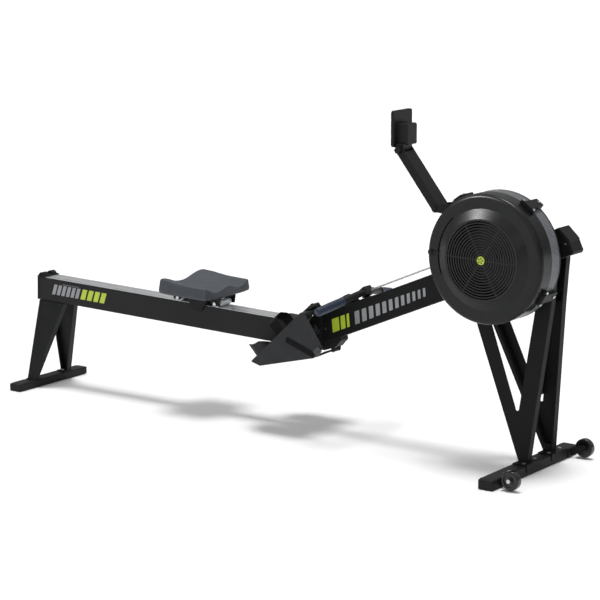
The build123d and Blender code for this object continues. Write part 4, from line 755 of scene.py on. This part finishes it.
def air_band():
    """The perforated steel band between the covers, one eight-sided hole to a cell."""
    verts, faces = [], []
    wide = (BAND_Y[1] - BAND_Y[0]) / CELLS_ACROSS
    step = 2 * pi / CELLS_AROUND
    corner_at = {}

    def at(turn, y):
        return Vector((AXLE.x + BAND_R * cos(turn), y, AXLE.z + BAND_R * sin(turn)))

    def corner(i, j):
        key = (i % (2 * CELLS_AROUND), j)
        if key not in corner_at:
            corner_at[key] = len(verts)
            verts.append(at(key[0] * step / 2, BAND_Y[0] + j * wide / 2))
        return corner_at[key]

    around_cell = ((1, 0), (2, 0), (2, 1), (2, 2), (1, 2), (0, 2), (0, 1), (0, 0))
    for i in range(CELLS_AROUND):
        for j in range(CELLS_ACROSS):
            outer = [corner(2 * i + a, 2 * j + b) for a, b in around_cell]
            base = len(verts)
            for k in range(8):
                round_hole = radians(-90 + 45 * k)
                turn = (i + 0.5) * step + HOLE * cos(round_hole) / BAND_R
                verts.append(at(turn, BAND_Y[0] + (j + 0.5) * wide - HOLE * sin(round_hole)))
            for k in range(8):
                m = (k + 1) % 8
                faces.append((outer[k], outer[m], base + m, base + k))
    band = piece("air_band_perforated", verts, faces, "frame", "screen_grey")
    thick = band.modifiers.new("thickness", "SOLIDIFY")
    thick.thickness = BAND_THICK
    thick.offset = 0
    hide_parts("housing_screen")


air_band()


# ---------------------------------------------------------------- plain coloured graphics
RAIL_BAND = (-66, -23)           # the stripes' lower and upper ends under the line's top
BEAM_BAND = (-79, -30)
BAR_LEAN = 0.32                  # how far a stripe leans for each millimetre of its height


def slashes(name, line, side_y, bars, slot):
    """Slanted bars laid on the right-hand face of the rail or beam: (start, width, low, high)."""
    parts = Parts()
    for start, width, low, high in bars:
        lean = BAR_LEAN * (high - low)
        end = start + width
        outline = rounded([(start, low), (end, low), (end + lean, high), (start + lean, high)], 2.2, 2)
        parts.add(*prism(outline, lambda s, h, y: on(line, s, h, side_y - y * MM), -0.05, 0.22))
    piece(name, parts.verts, parts.faces, "frame", slot)


slashes("rail_stripes_silver", RAIL, -RAIL_HALF, [
    (44 + 25 * k, 17, *RAIL_BAND) for k in range(6)], "accent_grey")
slashes("rail_stripes_lime", RAIL, -RAIL_HALF, [
    (198 + 34 * k, 25, *RAIL_BAND) for k in range(4)], "accent_lime")
slashes("rail_ticks_grey", RAIL, -RAIL_HALF, [
    (104 + 8 * k, 4, -19.5, -16.5) for k in range(11)], "accent_grey")
slashes("beam_chevron_lime", BEAM, -BEAM_HALF, [
    (start, width, *BEAM_BAND) for start, width in ((309, 34), (351, 22), (381, 12))], "accent_lime")
# The beam's silver bars grow narrower and shorter towards the flywheel.
silver = []
at = 420
for k in range(12):
    width = 23 - 1.1 * k
    silver.append((at, width, BEAM_BAND[0] + k, BEAM_BAND[1] - 2 - 0.5 * k))
    at += width + 12.5
slashes("beam_stripes_silver", BEAM, -BEAM_HALF, silver, "accent_grey")


# ---------------------------------------------------------------- display digits
SEGMENTS = {
    "0": "abcdef", "1": "bc", "2": "abged", "3": "abgcd", "4": "fgbc", "5": "afgcd", "8": "abcdefg",
}
# Each segment's middle: across in half widths of a digit, up in heights of it.
SEGMENT_AT = {
    "a": (0, 0.5), "g": (0, 0), "d": (0, -0.5),
    "f": (1, 0.25), "b": (-1, 0.25), "e": (1, -0.25), "c": (-1, -0.25),
}
SEGMENT_THICK = 1.3
DOT = 1.2
DISPLAY_X = 1.7864               # the display's front face
TEXT_FROM = -24                  # Y of each row's left end
TEXT_ROWS = ((1228, "1:24", 17), (1205, "2:05", 13), (1187, "358", 9))      # Z, marks and their height


def digits():
    """Plain seven-segment time and distance on the display."""
    parts = Parts()

    def bar(y, z, across, tall):
        left, right = y - across / 2, y + across / 2
        low, high = z - tall / 2, z + tall / 2
        outline = rounded([(left, low), (right, low), (right, high), (left, high)], 0.5, 2)
        parts.add(*prism(outline, lambda a, b, x: Vector((DISPLAY_X - x * MM, a * MM, b * MM)), 0, 0.12))

    for row_z, text, size in TEXT_ROWS:
        y = TEXT_FROM
        half = size * 0.26
        for mark in text:
            if mark == ":":
                bar(y - 1, row_z + size * 0.2, DOT, DOT)
                bar(y - 1, row_z - size * 0.2, DOT, DOT)
                y -= size * 0.35
                continue
            for segment in SEGMENTS[mark]:
                a, b = SEGMENT_AT[segment]
                if a:
                    bar(y - half + a * half, row_z + b * size, SEGMENT_THICK, size * 0.42)
                else:
                    bar(y - half, row_z + b * size, half * 1.6, SEGMENT_THICK)
            y -= size * 0.75
    piece("display_digits", parts.verts, parts.faces, "monitor", "roller_white")


digits()

# ---------------------------------------------------------------- studio
CAMERA_AT = Vector((6.1258, -6.7617, 2.1222))
CAMERA_TURN = (0.6204, 0.1935, -0.0032)     # azimuth, downward look and roll, radians
CAMERA_LENS = 133.07
SEEN_STRENGTH = 1.1              # the white that the camera sees, and the light that everything else gets
LIT_STRENGTH = 0.66
LIT_LOW = (0.3, 0.3, 0.31, 1)
FLOOR_HALF = 30
FLOOR_DROP = 0.0006              # keeps the floor just clear of the feet


def camera():
    """A long lens, well off to the right of the flywheel's end."""
    azimuth, down, roll = CAMERA_TURN
    ahead = Vector((-sin(azimuth) * cos(down), cos(azimuth) * cos(down), -sin(down)))
    right = Vector((cos(azimuth), sin(azimuth), 0))
    up = right.cross(ahead)
    turned_right = right * cos(roll) + up * sin(roll)
    turned_up = up * cos(roll) - right * sin(roll)
    data = bpy.data.cameras.new("camera")
    data.lens = CAMERA_LENS
    data.sensor_width = 36
    data.clip_end = 60
    made = bpy.data.objects.new("camera", data)
    made.matrix_world = Matrix((
        (turned_right.x, turned_up.x, -ahead.x, CAMERA_AT.x),
        (turned_right.y, turned_up.y, -ahead.y, CAMERA_AT.y),
        (turned_right.z, turned_up.z, -ahead.z, CAMERA_AT.z),
        (0, 0, 0, 1)))
    bpy.context.scene.collection.objects.link(made)
    bpy.context.scene.camera = made


def area_light(name, at, aim, size, power, only=None):
    """A soft rectangular light; with only, it reaches just that node."""
    data = bpy.data.lights.new(name, "AREA")
    data.shape = "RECTANGLE"
    data.size, data.size_y = size
    data.energy = power
    made = bpy.data.objects.new(name, data)
    made.location = at
    made.rotation_mode = "QUATERNION"
    made.rotation_quaternion = (Vector(aim) - Vector(at)).to_track_quat("-Z", "Y")
    bpy.context.scene.collection.objects.link(made)
    if only is not None:
        group = bpy.data.collections.new(name + "_reach")
        group.objects.link(nodes[only])
        made.light_linking.receiver_collection = group


def sun(name, strength, spread):
    """Soft light straight down."""
    data = bpy.data.lights.new(name, "SUN")
    data.energy = strength
    data.angle = radians(spread)
    bpy.context.scene.collection.objects.link(bpy.data.objects.new(name, data))


def floor():
    """A wide, pale floor."""
    mesh = bpy.data.meshes.new("studio_floor")
    far = FLOOR_HALF
    mesh.from_pydata([(-far, -far, 0), (far, -far, 0), (far, far, 0), (-far, far, 0)], [], [(0, 1, 2, 3)])
    g = finish_of(
        "studio_floor", (0.93, 0.93, 0.93), 0.9, spread=0.004, patch=0.5, grain=30, relief=0.0,
        specular=0.0)
    mesh.materials.append(g.material)
    made = bpy.data.objects.new("studio_floor", mesh)
    made.location.z = -FLOOR_DROP
    bpy.context.scene.collection.objects.link(made)


def world():
    """White all round for the camera; softer light, darker towards the floor, for everything else."""
    made = bpy.data.worlds.new("studio")
    made.use_nodes = True
    tree = made.node_tree
    tree.nodes.clear()
    out = tree.nodes.new("ShaderNodeOutputWorld")
    seen = tree.nodes.new("ShaderNodeBackground")
    seen.inputs["Color"].default_value = (1, 1, 1, 1)
    seen.inputs["Strength"].default_value = SEEN_STRENGTH
    lit = tree.nodes.new("ShaderNodeBackground")
    lit.inputs["Strength"].default_value = LIT_STRENGTH
    coord = tree.nodes.new("ShaderNodeTexCoord")
    split = tree.nodes.new("ShaderNodeSeparateXYZ")
    ramp = tree.nodes.new("ShaderNodeValToRGB")
    ramp.color_ramp.elements[0].position = 0.0
    ramp.color_ramp.elements[0].color = LIT_LOW
    ramp.color_ramp.elements[1].position = 0.75
    ramp.color_ramp.elements[1].color = (1, 1, 1, 1)
    path = tree.nodes.new("ShaderNodeLightPath")
    mix = tree.nodes.new("ShaderNodeMixShader")
    links = tree.links
    links.new(coord.outputs["Generated"], split.inputs[0])
    links.new(split.outputs[2], ramp.inputs[0])
    links.new(ramp.outputs[0], lit.inputs["Color"])
    links.new(path.outputs["Is Camera Ray"], mix.inputs[0])
    links.new(lit.outputs[0], mix.inputs[1])
    links.new(seen.outputs[0], mix.inputs[2])
    links.new(mix.outputs[0], out.inputs[0])
    bpy.context.scene.world = made


camera()
floor()
world()
sun("overhead", 2.0, 17)
area_light("side_fill", (4.5, -4.5, 2.6), (1.6, 0, 0.5), (2.2, 1.6), 12)
area_light("housing_gleam", (0.6, -2.0, 2.35), (AXLE.x, -0.2, AXLE.z), (0.9, 0.55), 95, "housing_outer_cover")
bpy.context.scene.view_settings.view_transform = "Standard"
